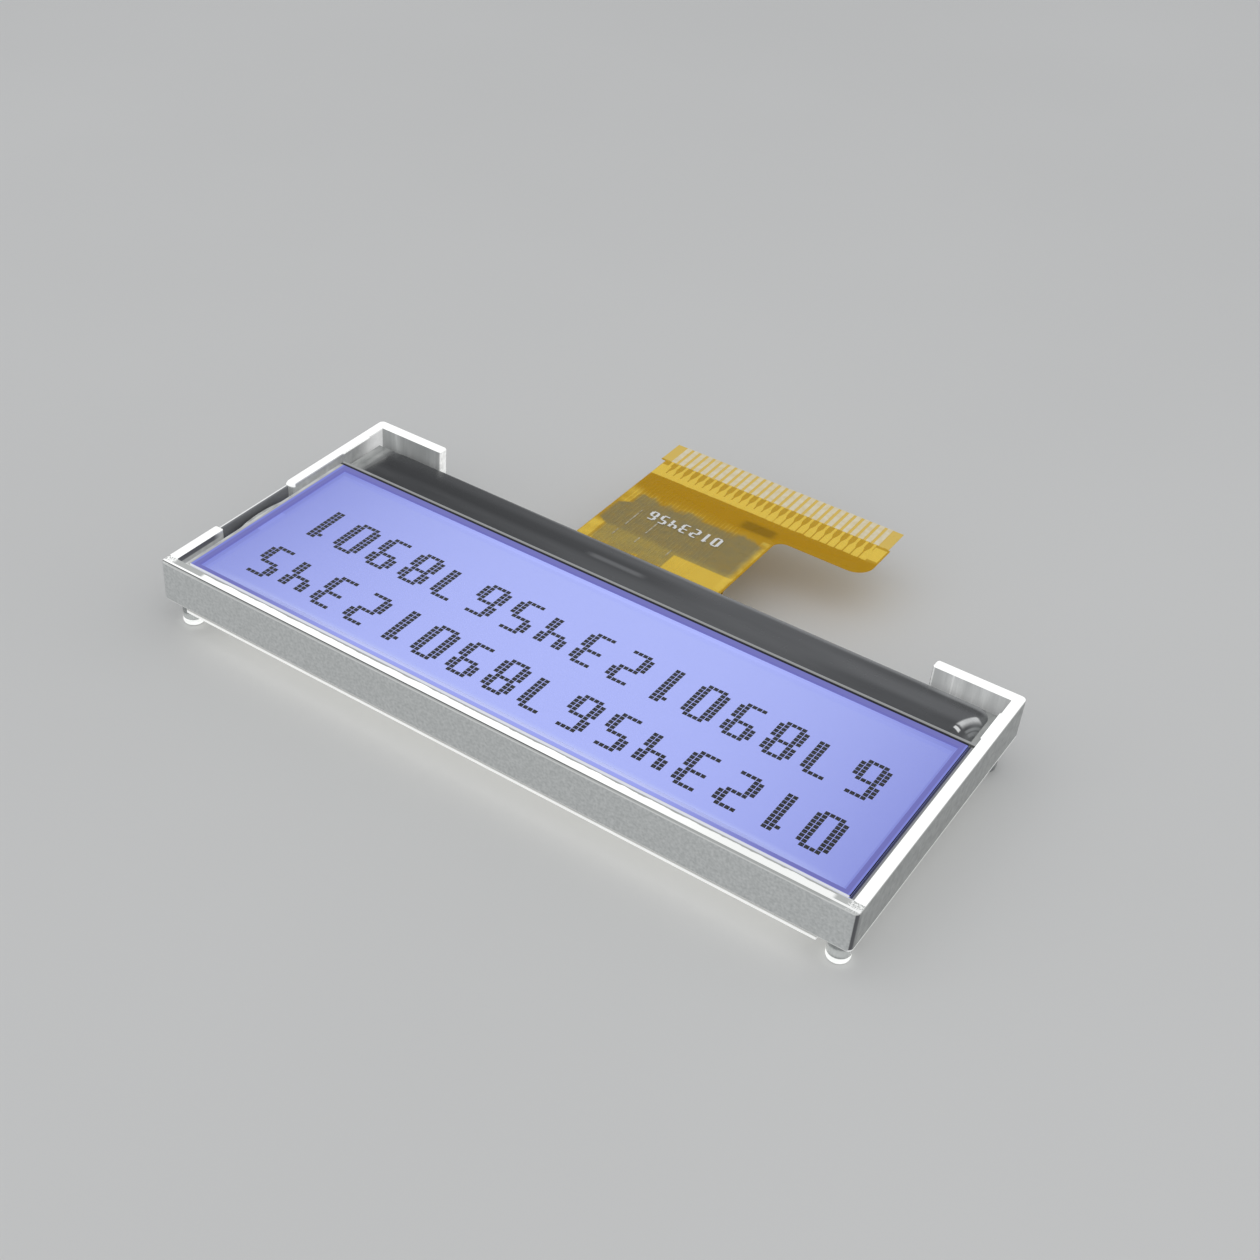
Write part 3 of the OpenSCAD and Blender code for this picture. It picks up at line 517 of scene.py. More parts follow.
def frosted_moulding():
    """Clear plastic, frosted grey outside, with painted shade on the faces that look to -X and down the
    rounded near corner, painted highlights along the bevels at the foot and the rim, and a brighter painted
    highlight, also glowing, along one side's foot. The rim is lit white from within, with a dark line of
    painted shade inside its near edge that fades to one end. The returns are streaked inside and glow, one
    more than the other; one has two light lines, the one at its free end a painted highlight, and the
    other's free end is painted bright and glowing. The +X wall glows inside, more towards the far end, with
    painted shade on it above the film at the near end. The notch is painted dark as shade behind a
    painted highlight on its outer edge that also glows, and is painted bright and glowing at its far end."""
    f = Finish("frosted_moulding", IOR=1.49, Emission_Strength=0.7)
    nx, ny, nz = f.facing()
    away, back = f.calc("MULTIPLY", nx, -1.0), f.calc("MULTIPLY", f.y, -1.0)
    across = f.calc("ABSOLUTE", f.x)
    worm = f.grain(4.0, 0.0, 1.0)
    colour = f.mix(worm, srgb(186, 189, 188), srgb(212, 214, 213))
    mottle = f.grain(1.6, 0.0, 1.0)
    # Faces that look to -X are painted darker: painted shade on that side of the wall.
    side_face = f.over(away, 0.6, 0.9)
    colour = f.mix(side_face, colour, f.mix(mottle, srgb(152, 154, 153), srgb(178, 180, 178)))
    # Painted shade down the rounded corner between the near wall and the -X wall.
    corner_shade = f.calc("MULTIPLY", f.band(nx, -0.74, 0.14, 0.18), f.over(f.y, 13.9, 14.2))
    colour = f.mix(corner_shade, colour, srgb(88, 89, 92))
    # Painted highlights along the bevels at the foot and at the rim.
    lines = f.calc("MAXIMUM", f.band(f.z, FLOOR_Z + 0.07, 0.05, 0.04), f.band(f.z, RIM_Z - 0.08, 0.05, 0.02))
    colour = f.mix(f.calc("MULTIPLY", lines, 0.8), colour, srgb(236, 237, 234))
    # A painted highlight, which also glows, along the foot of the -X wall's outer face.
    foot = f.calc("MULTIPLY", f.over(away, 0.3, 0.6), f.band(f.z, FLOOR_Z + 0.08, 0.1, 0.05))
    foot = f.calc("MULTIPLY", foot, f.calc("SUBTRACT", 1.0, f.over(f.x, -33.0, -32.8)))
    colour = f.mix(foot, colour, srgb(244, 245, 243))

    free_end_highlight_x, light_line_x, lit_end_x = -25.5, -27.35, 25.4
    within = f.over(back, 13.0, 13.4)
    inside = f.calc("MULTIPLY", f.over(ny, 0.6, 0.9), within)
    pane = f.grain(1.0, 0.0, 1.0, f.stretched(0.9, 0.2, 0.12))
    pane_tone = f.mix(f.calc("POWER", pane, 2.0), srgb(158, 161, 160), srgb(220, 222, 220))
    colour = f.mix(inside, colour, pane_tone)
    glow = f.mix(inside, NO_LIGHT, f.mix(f.over(f.x, -1.0, 1.0), dim(0.28), dim(0.11)))
    glow = f.mix(foot, glow, dim(0.3))
    # A painted highlight on the -X return's rounded free end, and a second, fainter light line beside it.
    lip = f.calc("MULTIPLY", inside, f.band(f.x, free_end_highlight_x, 0.1, 0.08))
    light_line = f.calc("MULTIPLY", inside, f.band(f.x, light_line_x, 0.05, 0.05))
    colour = f.mix(f.calc("MAXIMUM", lip, f.calc("MULTIPLY", light_line, 0.6)), colour, WHITE)
    # The +X return's free end is painted bright and glowing.
    end = f.calc("MULTIPLY", within, f.band(f.x, lit_end_x, 0.5, 0.3))
    end = f.calc("MULTIPLY", end, f.over(away, 0.5, 0.8))
    colour = f.mix(end, colour, WHITE)
    glow = f.mix(end, glow, f.mix(worm, dim(0.3), (0.75, 0.75, 0.74)))
    side_in = f.calc("MULTIPLY", side_face, f.over(f.x, 31.0, 31.5))
    # Painted shade on the +X wall's inner face above the film at the near end; elsewhere that face glows,
    # more towards the far end.
    gap = f.calc("MULTIPLY", f.over(f.y, 8.4, 9.4), f.over(f.z, FILM_HI[2] - 0.02, FILM_HI[2] + 0.1))
    colour = f.mix(f.calc("MULTIPLY", side_in, gap), colour, srgb(100, 101, 104))
    side_glow = f.mix(f.over(back, 9.5, 13.0), dim(0.12), dim(0.65))
    glow = f.mix(side_in, glow, f.mix(gap, side_glow, NO_LIGHT))

    notch_z = RIM_Z - NOTCH_DROP
    notch_side = f.over(f.x, 32.0, 32.2)
    notch = f.calc("MULTIPLY", notch_side, f.band(f.y, NOTCH_Y, NOTCH_L / 2 - 0.14, 0.03))
    notch = f.calc("MULTIPLY", notch, f.over(f.z, GUIDE_Z - 0.7, GUIDE_Z - 0.4))
    outer = f.over(f.x, FRAME_HI[0] - 0.24, FRAME_HI[0] - 0.18)
    # A painted highlight, which also glows, along the notch's outer edge, and painted shade inside the notch.
    line = f.calc("MULTIPLY", f.calc("MULTIPLY", notch, outer), f.over(f.z, notch_z - 0.18, notch_z - 0.1))
    notch_shade = f.calc("MULTIPLY", notch, f.calc("SUBTRACT", 1.0, outer))
    colour = f.mix(line, f.mix(notch_shade, colour, srgb(126, 127, 130)), srgb(236, 238, 236))
    glow = f.mix(line, f.mix(notch_shade, glow, NO_LIGHT), dim(0.4))
    # The notch's far end is painted bright and glowing.
    tip = f.calc("MULTIPLY", f.over(ny, 0.35, 0.55), f.band(f.y, NOTCH_Y - NOTCH_L / 2, 0.5, 0.1))
    tip = f.calc("MULTIPLY", tip, notch_side)
    tip = f.calc("MULTIPLY", tip, f.over(f.z, notch_z - 0.1, notch_z))
    colour = f.mix(tip, colour, WHITE)
    glow = f.mix(tip, glow, RIM_LIGHT)

    rim = f.calc("MULTIPLY", f.over(nz, 0.55, 0.8), f.over(f.z, RIM_Z - 0.3, RIM_Z - 0.22))
    inset = f.calc("SUBTRACT", FRAME_HI[1], f.y)
    off_edge = f.over(inset, 0.24, 0.28)
    near = f.over(f.y, FRAME_HI[1] - LONG_WALL - 0.05, FRAME_HI[1] - LONG_WALL)
    ragged = f.calc("ADD", inset, f.grain(1.2, -0.06, 0.06, f.stretched(0.7, 0.1, 0.1)))
    bright = f.calc("MULTIPLY", off_edge, f.calc("SUBTRACT", 1.0, f.over(ragged, 0.9, 0.94)))
    middle = f.calc("MULTIPLY", f.over(f.x, -31.3, -30.9), f.calc("SUBTRACT", 1.0, f.over(f.x, 28.8, 29.2)))
    speck = f.calc("MULTIPLY", f.over(f.grain(9.0, 0.0, 1.0), 0.35, 0.65), f.over(across, 32.0, 32.4))
    speck = f.calc("MAXIMUM", speck, f.band(inset, 0.36, 0.08, 0.04))
    fade = f.calc("ADD", 0.7, f.calc("MULTIPLY", f.over(f.x, -24.0, -12.0), 0.3))
    lit = f.calc("MULTIPLY", f.mix(middle, speck, bright), fade)
    near_tone = f.mix(lit, f.mix(middle, srgb(204, 206, 203), srgb(188, 190, 187)), WHITE)
    # A dark line of painted shade inside the near rim's edge, fading out towards -X.
    edge = f.calc("MULTIPLY", f.band(inset, 0.19, 0.035, 0.02), f.over(f.x, -20.0, -5.0))
    near_tone = f.mix(edge, near_tone, srgb(78, 79, 81))
    near_glow = f.mix(off_edge, NO_LIGHT, f.mix(lit, dim(0.04), RIM_LIGHT))
    colour = f.mix(rim, colour, f.mix(near, WHITE, near_tone))
    glow = f.mix(rim, glow, f.mix(near, RIM_LIGHT, near_glow))
    f.set(Base_Color=colour, Roughness=f.grain(3.0, 0.3, 0.45), Emission_Color=glow)
    f.bump(f.grain(6.0, 0.0, 1.0), 0.2)
    return f.material


def clear_peg():
    """Plastic that is half clear and half frosted, the ends of the near pegs catching the light."""
    f = Finish("clear_peg", IOR=1.49, Transmission_Weight=0.5, Emission_Strength=0.7)
    f.set(Base_Color=f.mix(f.grain(2.0, 0, 1), (0.48, 0.5, 0.5), (0.4, 0.42, 0.42)))
    f.set(Roughness=f.grain(4.0, 0.03, 0.1))
    end = f.calc("MULTIPLY", f.band(f.z, FRAME_LO[2] + 0.35, 0.25, 0.1), f.over(f.y, -1.0, 1.0))
    f.set(Emission_Color=f.mix(end, NO_LIGHT, WHITE))
    return f.material


def front_pane():
    """Clear glass under the film; where bare it glows grey as painted backlight, lighter along the walls,
    with black painted shade beside the film's -X edge and along its far edge, beside the bead.
    """
    f = Finish("front_pane", IOR=1.5, Transmission_Weight=1.0, Emission_Strength=1.0, Specular_IOR_Level=0.15)
    top = f.over(f.facing()[2], 0.5, 0.9)
    beside = f.calc("SUBTRACT", f.calc("ABSOLUTE", f.x), FILM_HI[0])
    far = f.calc("SUBTRACT", FILM_LO[1], f.y)
    near = f.calc("SUBTRACT", f.y, FILM_HI[1])
    bare = f.over(f.calc("MAXIMUM", beside, f.calc("MAXIMUM", far, near)), 0.0, 0.02)
    wavy = f.grain(1.0, 0.0, 1.0, f.stretched(1.6, 0.55, 1.0))
    tone = f.mix(f.band(beside, 0.27, 0.03, 0.08), srgb(156, 157, 157), srgb(120, 121, 122))
    # Black painted shade in the gap just beyond the film's -X edge.
    tone = f.mix(f.over(beside, 0.18, 0.21), BLACK, tone)
    tone = f.mix(f.over(f.x, 0.0, 1.0), tone, f.mix(wavy, srgb(140, 142, 141), srgb(196, 198, 195)))
    tone = f.mix(f.over(near, -0.02, 0.02), tone, srgb(206, 208, 206))
    # Along the far edge, black painted shade next to the film, then grey.
    tone = f.mix(f.over(far, -0.02, 0.02), tone, f.mix(f.over(far, 0.27, 0.3), BLACK, srgb(140, 141, 140)))
    side = f.calc("SUBTRACT", 1.0, f.over(f.calc("ABSOLUTE", f.facing()[2]), 0.3, 0.6))
    bare = f.calc("MAXIMUM", f.calc("MULTIPLY", bare, top), side)
    f.set(Base_Color=f.mix(bare, (0.93, 0.95, 0.95), dim(0.01)), Roughness=f.grain(1.0, 0.0, 0.02))
    f.set(Emission_Color=f.mix(bare, NO_LIGHT, tone))
    return f.material


def rear_pane():
    """Clear glass, dark on the ledge, where black tape lies under it, with a painted grey glow on the ledge
    that turns into lighter painted reflections towards its ends.
    """
    f = Finish("rear_pane", IOR=1.5, Transmission_Weight=1.0, Emission_Strength=1.0, Specular_IOR_Level=0.3)
    ledge = f.over(f.calc("MULTIPLY", f.y, -1.0), 7.6, 7.9)
    smoke = f.mix(f.grain(0.6, 0, 1), dim(0.02), dim(0.05))
    f.set(Base_Color=f.mix(ledge, (0.9, 0.94, 0.93), smoke), Roughness=f.grain(1.0, 0.0, 0.03))
    patch = f.grain(0.8, 0, 1, f.stretched(1.5, 0.5, 1.0))
    ends = f.over(f.calc("ABSOLUTE", f.x), 30.3, 31.2)
    # The ledge's top glows grey as painted light, lighter towards its ends as painted reflections.
    ledge_glow = f.mix(patch, srgb(50, 51, 53), srgb(92, 93, 94))
    ledge_glow = f.mix(ends, ledge_glow, f.mix(patch, srgb(96, 98, 98), srgb(146, 148, 147)))
    f.set(Emission_Color=f.mix(f.calc("MULTIPLY", ledge, f.over(f.facing()[2], 0.5, 0.9)), NO_LIGHT, ledge_glow))
    return f.material


def plug_glue():
    """The clear glue that closes the cell: pale outside, and lit where it reaches in between the panes."""
    f = Finish("plug_glue", IOR=1.5, Emission_Strength=1.0, Specular_IOR_Level=0.3)
    inner = f.calc("SUBTRACT", 1.0, f.over(f.x, FRONT_HI[0] - 0.1, FRONT_HI[0]))
    lump = f.grain(1.2, 0.0, 1.0)
    pale = f.mix(lump, srgb(176, 180, 178), srgb(236, 238, 236))
    f.set(Base_Color=f.mix(inner, pale, (0.01, 0.01, 0.02)), Roughness=f.grain(2.0, 0.08, 0.2))
    f.set(Emission_Color=f.mix(inner, NO_LIGHT, LIT_END))
    f.bump(f.grain(1.5, 0.0, 1.0), 0.5)
    return f.material


LIT_MIDDLE, LIT_END, LIT_STREAK = srgb(176, 185, 255), srgb(143, 151, 228), srgb(200, 209, 255)
VIOLET = srgb(108, 109, 180)


def front_film():
    """The front polariser: clear, with the backlight painted into it as glow: a violet ring of painted shade
    inside its edge, a lit line outside the ring at the sides, a bright streak inside it along the near side,
    black painted shade along its far edge, beside the bead, and on its side face that looks to -X, and a
    light, glowing side face at the near side."""
    f = Finish("front_film", IOR=1.5, Roughness=0.15, Emission_Strength=1.0)
    left = f.calc("SUBTRACT", FILM_HI[0], f.x)
    right = f.calc("SUBTRACT", f.x, FILM_LO[0])
    near = f.calc("SUBTRACT", FILM_HI[1], f.y)
    far = f.calc("SUBTRACT", f.y, FILM_LO[1])
    depth = None
    ring_sides = ((left, 0.37, 0.42), (right, 0.18, 0.37), (near, 0.06, 0.37), (far, 0.25, 0.55))
    for reach, start, width in ring_sides:
        share = f.calc("DIVIDE", f.calc("SUBTRACT", reach, start), width)
        depth = share if depth is None else f.calc("MINIMUM", depth, share)
    # Inside the film's edge a violet ring of painted shade, outside it a lit line, both painted glow.
    within = f.over(depth, -0.05, 0.05)
    ring = f.calc("SUBTRACT", 1.0, f.over(depth, 0.93, 1.07))
    middle = f.calc("SUBTRACT", 1.0, f.over(f.calc("ABSOLUTE", f.x), 12.0, 29.0))
    violet = f.mix(f.calc("MULTIPLY", f.band(near, 0.2, 0.3, 0.1), middle), VIOLET, srgb(153, 162, 235))
    glow = f.mix(within, srgb(120, 127, 206), violet)
    glow = f.mix(f.band(left, 0.0, 0.12, 0.04), glow, srgb(168, 170, 172))
    nx, ny, _ = f.facing()
    # Black painted shade along the far edge and on the side face that looks to -X.
    edge_shade = f.calc("MAXIMUM", f.band(far, 0.0, 0.22, 0.02), f.over(f.calc("MULTIPLY", nx, -1.0), 0.3, 0.5))
    glow = f.mix(edge_shade, glow, NO_LIGHT)
    glow = f.mix(f.over(ny, 0.5, 0.8), glow, srgb(216, 218, 222))
    streak = f.calc("MULTIPLY", f.calc("MULTIPLY", f.band(near, 0.62, 0.12, 0.1), middle), 0.75)
    glow = f.mix(f.calc("MULTIPLY", streak, f.calc("SUBTRACT", 1.0, ring)), glow, srgb(204, 212, 255))
    f.set(Emission_Color=glow, Alpha=f.calc("MAXIMUM", ring, streak))
    f.set(Base_Color=f.mix(f.grain(0.3, 0, 1), srgb(14, 14, 30), srgb(20, 20, 38)))
    return f.material


def lit_from_behind(name, end_tone):
    """Backlight through the cell: brightest in the middle and along the near edge, dimmer to the ends."""
    f = Finish(name, Roughness=0.6, Emission_Strength=1.05, Specular_IOR_Level=0.0)
    reach = f.calc("DIVIDE", f.calc("ABSOLUTE", f.x), CRYSTAL_HI[0])
    body = f.mix(f.calc("POWER", reach, 2.6), LIT_MIDDLE, end_tone)
    streak = f.calc("MULTIPLY", f.over(f.y, 11.1, 11.9), f.calc("SUBTRACT", 1.0, f.calc("POWER", reach, 4.0)))
    body = f.mix(f.calc("MULTIPLY", streak, 0.7, clamp=True), body, LIT_STREAK)
    f.set(Base_Color=f.mix(f.grain(0.4, 0, 1), (0.01, 0.01, 0.02), (0.02, 0.02, 0.03)), Emission_Color=body)
    return f.material


def dark_dot():
    f = Finish("dark_dot", Roughness=0.6, Specular_IOR_Level=0.0)
    f.set(Base_Color=f.mix(f.grain(0.6, 0, 1), srgb(14, 15, 24), srgb(24, 25, 36)))
    return f.material


def bead_silicone():
    """Black silicone, darkest towards one end. Painted shade darkens its crest over one half and a painted
    sheen makes the crest a little paler at the other end. Painted reflections make it paler on its thin far
    edge and in one far corner, with painted highlights at its ends and a painted glint over the driver chip.
    The ridge where the bead was pulled off carries a painted highlight along one side and a bright painted
    spot, with two fainter painted reflections beside it."""
    f = Finish("bead_silicone", IOR=1.42)
    crest_y, chip_x, chip_y = -10.5, 3.2, -10.2
    slow = f.grain(0.35, 0.0, 1.0, f.stretched(0.25, 1.6, 1.0))
    away = f.calc("MULTIPLY", f.x, -1.0)
    across = f.over(away, -28.0, 6.0)
    pale = f.mix(f.over(away, 14.0, 24.0), srgb(92, 93, 95), srgb(74, 75, 77))
    tone = f.mix(across, srgb(58, 59, 61), pale)
    tone = f.mix(f.calc("MULTIPLY", slow, 0.12), tone, srgb(150, 151, 153))
    # Painted shade darkens the crest over the +X half; a painted sheen lightens it towards the -X end.
    crown = f.band(f.y, crest_y, 0.3, 1.1)
    crest_shade = f.mix(across, srgb(48, 49, 51), srgb(72, 73, 75))
    tone = f.mix(f.calc("MULTIPLY", crown, f.over(f.x, -8.0, 2.0)), tone, crest_shade)
    crest_sheen = f.calc("MULTIPLY", f.over(away, 14.0, 22.0), 0.12)
    tone = f.mix(f.calc("MULTIPLY", crown, crest_sheen), tone, srgb(190, 191, 193))
    glint = f.calc("MULTIPLY", f.band(f.x, chip_x, 2.0, 1.4), f.band(f.y, chip_y, 0.1, 0.35))
    tone = f.mix(f.calc("MULTIPLY", glint, 0.35), tone, srgb(160, 161, 163))
    # Painted reflection on the bead's thin far edge, wider and stronger towards -X, and in its far corner at
    # the -X end.
    strength = f.calc("ADD", 0.25, f.calc("MULTIPLY", across, 0.35))
    reach = f.calc("ADD", 0.4, f.calc("MULTIPLY", across, 0.5))
    inward = f.calc("DIVIDE", f.calc("SUBTRACT", f.y, BEAD_LO[1]), reach)
    lip = f.calc("MULTIPLY", f.calc("SUBTRACT", 1.0, f.over(inward, 0.35, 1.0)), strength)
    corner = f.calc("MULTIPLY", f.over(away, 24.0, 27.5), f.band(f.y, BEAD_LO[1], 0.5, 0.5))
    tone = f.mix(f.calc("MAXIMUM", lip, f.calc("MULTIPLY", corner, 0.75)), tone, srgb(172, 173, 174))
    # Painted highlights on the bead's rounded ends.
    ends = f.calc("MAXIMUM", f.over(f.x, 29.8, 30.4), f.over(away, 30.6, 31.3))
    tone = f.mix(f.calc("MULTIPLY", ends, 0.5), tone, srgb(152, 154, 154))
    (ax, ay), (bx, by) = RIDGE
    length = math.hypot(bx - ax, by - ay)
    ux, uy = (bx - ax) / length, (by - ay) / length
    px, py = f.calc("SUBTRACT", f.x, ax), f.calc("SUBTRACT", f.y, ay)
    along = f.calc("ADD", f.calc("MULTIPLY", px, ux), f.calc("MULTIPLY", py, uy))
    bend = f.calc("POWER", f.calc("SUBTRACT", along, length / 2), 2.0)
    off = f.calc("SUBTRACT", f.calc("MULTIPLY", px, uy), f.calc("MULTIPLY", py, ux))
    off = f.calc("SUBTRACT", off, f.calc("MULTIPLY", bend, 0.12))
    # The ridge's paint is painted light: two fainter painted reflections beside it, a painted highlight along
    # one side and a bright painted spot near its start.
    run = f.band(along, 1.7, 0.9, 0.35)
    beside = f.calc("MAXIMUM", f.band(off, 0.62, 0.05, 0.1), f.band(off, 0.95, 0.06, 0.12))
    beside = f.calc("MULTIPLY", beside, run)
    tone = f.mix(f.calc("MULTIPLY", beside, 0.35), tone, srgb(200, 202, 202))
    crest = f.calc("MULTIPLY", f.over(off, -0.55, -0.25), f.calc("SUBTRACT", 1.0, f.over(off, -0.05, 0.4)))
    spot = f.calc("MULTIPLY", f.band(along, 0.2, 0.1, 0.14), f.band(off, -0.05, 0.22, 0.15))
    crest = f.calc("MULTIPLY", f.calc("MULTIPLY", crest, run), f.grain(1.2, 0.65, 1.0))
    ridge = f.calc("MAXIMUM", crest, spot)
    tone = f.mix(f.calc("MULTIPLY", ridge, 0.97, clamp=True), tone, srgb(253, 253, 252))
    f.set(Base_Color=tone, Roughness=f.grain(0.8, 0.18, 0.3))
    f.bump(f.grain(1.5, 0, 1), 0.03)
    return f.material


FLEX_LIGHT, FLEX_DARK = srgb(255, 226, 98), srgb(208, 162, 26)


def flex_paint(f, pads, flag, fan, olive):
    """Amber of the flex, by zones along it: under the pads, on the flag, where the traces fan out, where
    they merge into a light band and a light patch at each end, and a darker spot in the flag's corner. The
    neck is olive, where it is seen through: ragged at the flag, wider at its waist, paler at its root, and
    light at one edge and where the LED tail lies below one corner."""
    waist_y, olive_y, root_y, neck_end_x = -17.9, -17.3, -15.8, 7.9
    y = f.calc("ADD", f.y, f.grain(0.9, -0.12, 0.12))
    amber = f.mix(f.over(y, PADS_HI[1] - 0.05, PADS_HI[1] + 0.05), pads, flag)
    amber = f.mix(f.over(y, FINGER_Y - 0.1, FINGER_Y + 0.1), amber, fan)
    amber = f.mix(f.over(y, FLAG_Y + 0.3, FLAG_Y + 1.6), amber, f.mix(f.grain(0.9, 0.0, 1.0), fan, flag))
    merged = f.calc("MULTIPLY", f.band(f.y, FINGER_Y - 0.42, 0.36, 0.05), f.over(f.x, -6.0, -2.0))
    one_end = f.calc("MULTIPLY", f.band(f.x, 8.72, 0.5, 0.06), f.band(f.y, -26.7, 0.8, 0.08))
    other_end = f.calc("MULTIPLY", f.band(f.x, -13.9, 0.55, 0.06), f.band(f.y, -26.9, 1.0, 0.1))
    amber = f.mix(f.calc("MAXIMUM", merged, f.calc("MAXIMUM", one_end, other_end)), amber, FLEX_LIGHT)
    shade = f.calc("MULTIPLY", f.band(f.x, -3.6, 1.2, 0.9), f.band(f.y, -23.6, 0.4, 0.5))
    amber = f.mix(f.calc("MULTIPLY", shade, 0.5), amber, srgb(128, 98, 30))
    waist = f.band(f.y, waist_y, 1.4, 0.9)
    bound = f.calc("SUBTRACT", f.x, f.calc("MULTIPLY", waist, 1.1))
    past_end = f.over(bound, neck_end_x - 0.3, neck_end_x + 0.3)
    neck = f.calc("SUBTRACT", f.over(f.x, NECK_LO + 0.2, NECK_LO + 0.9), past_end)
    ragged = f.calc("ADD", f.y, f.grain(0.9, -0.4, 0.4))
    neck = f.calc("MULTIPLY", neck, f.band(ragged, olive_y, 3.9, 0.8))
    tail = f.calc("MULTIPLY", f.band(f.x, -2.6, 2.9, 0.15), f.band(f.y, -13.9, 1.4, 0.15))
    neck = f.calc("MULTIPLY", neck, f.calc("SUBTRACT", 1.0, tail))
    root = f.over(f.y, root_y - 0.4, root_y + 0.4)
    edge = f.calc("MULTIPLY", f.band(f.x, NECK_HI - 0.6, 0.4, 0.3), f.band(f.y, -17.5, 4.6, 1.0))
    edge = f.calc("MULTIPLY", edge, f.calc("SUBTRACT", 1.0, waist))
    edge = f.calc("MULTIPLY", edge, f.calc("ADD", f.grain(0.8, 0.2, 0.6), f.calc("MULTIPLY", root, 0.35)))
    seen = f.calc("MAXIMUM", f.calc("MULTIPLY", tail, 0.75), edge)
    amber = f.mix(seen, amber, FLEX_LIGHT)
    olive = f.mix(f.calc("MULTIPLY", root, f.grain(1.2, 0.15, 0.3)), olive, FLEX_LIGHT)
    return f.mix(f.calc("MULTIPLY", neck, f.grain(1.6, 0.75, 1.0), clamp=True), amber, olive)


def flex_film(name, pads, flag, fan, olive):
    f = Finish(name, Specular_IOR_Level=0.15)
    f.set(Base_Color=flex_paint(f, pads, flag, fan, olive), Roughness=f.grain(1.0, 0.25, 0.4))
    return f.material


def flex_cover():
    """The clear amber cover, with a few short painted glints of thin traces along the neck."""
    f = Finish("amber_cover", Specular_IOR_Level=0.15)
    # Short painted glints of thin traces along the neck.
    trace_glints = None
    long_marks = (6.4, -19.5, -16.6), (4.15, -18.6, -16.6)
    short_marks = (6.5, -15.6, -14.6), (4.2, -15.6, -14.8), (0.9, -15.8, -14.8)
    for x, y0, y1 in (*long_marks, *short_marks):
        line = f.calc("MULTIPLY", f.band(f.x, x, 0.05, 0.03), f.band(f.y, (y0 + y1) / 2, (y1 - y0) / 2, 0.1))
        trace_glints = line if trace_glints is None else f.calc("MAXIMUM", trace_glints, line)
    trace_glints = f.calc("MULTIPLY", trace_glints, f.grain(2.0, 0.2, 0.9), clamp=True)
    film = flex_paint(f, FLEX_LIGHT, FLEX_LIGHT, FLEX_DARK, srgb(166, 152, 108))
    f.set(Base_Color=f.mix(trace_glints, film, srgb(226, 222, 206)), Roughness=f.grain(1.0, 0.25, 0.4))
    f.set(Alpha=f.calc("ADD", 0.12, f.calc("MULTIPLY", trace_glints, 0.7)))
    return f.material


def plain(name, a, b, scale=1.0, rough=(0.4, 0.6), bump=0.1, **constants):
    """Two close tones drifting into each other, with grain in the gloss and the surface."""
    f = Finish(name, **constants)
    f.set(Base_Color=f.mix(f.grain(scale, 0, 1), a, b), Roughness=f.grain(scale * 3, *rough))
    if bump:
        f.bump(f.grain(scale * 8, 0, 1), bump)
    return f.material


def glowing(name, a, b, strength):
    """A white film that carries the backlight to its edges."""
    f = Finish(name, Emission_Strength=strength)
    tone = f.mix(f.grain(0.5, 0, 1), a, b)
    f.set(Base_Color=tone, Roughness=f.grain(2.0, 0.4, 0.6), Emission_Color=tone)
    return f.material


piece("tray", tray_shell(), frosted_moulding(), ["light_guide_frame"])
piece("tray_pegs", peg_shell(), clear_peg())
piece("lit_layer", crystal_shell(), lit_from_behind("lit_crystal", LIT_END), ["liquid_crystal"])
piece("shown_dots", dot_shell(), dark_dot(), ["dark_dots"])
piece("ledge_bead", bead_shell(), bead_silicone(), ["silicone_bead"])
piece("flex_cover", cover_shell(), flex_cover(), ["flex_coverlay"])
top_film = film_shell(FILM_LO + [0, 0, CLEAR], FILM_HI, FILM_R, FILM_BEVEL)
piece("top_film", top_film, front_film(), ["front_polariser"])

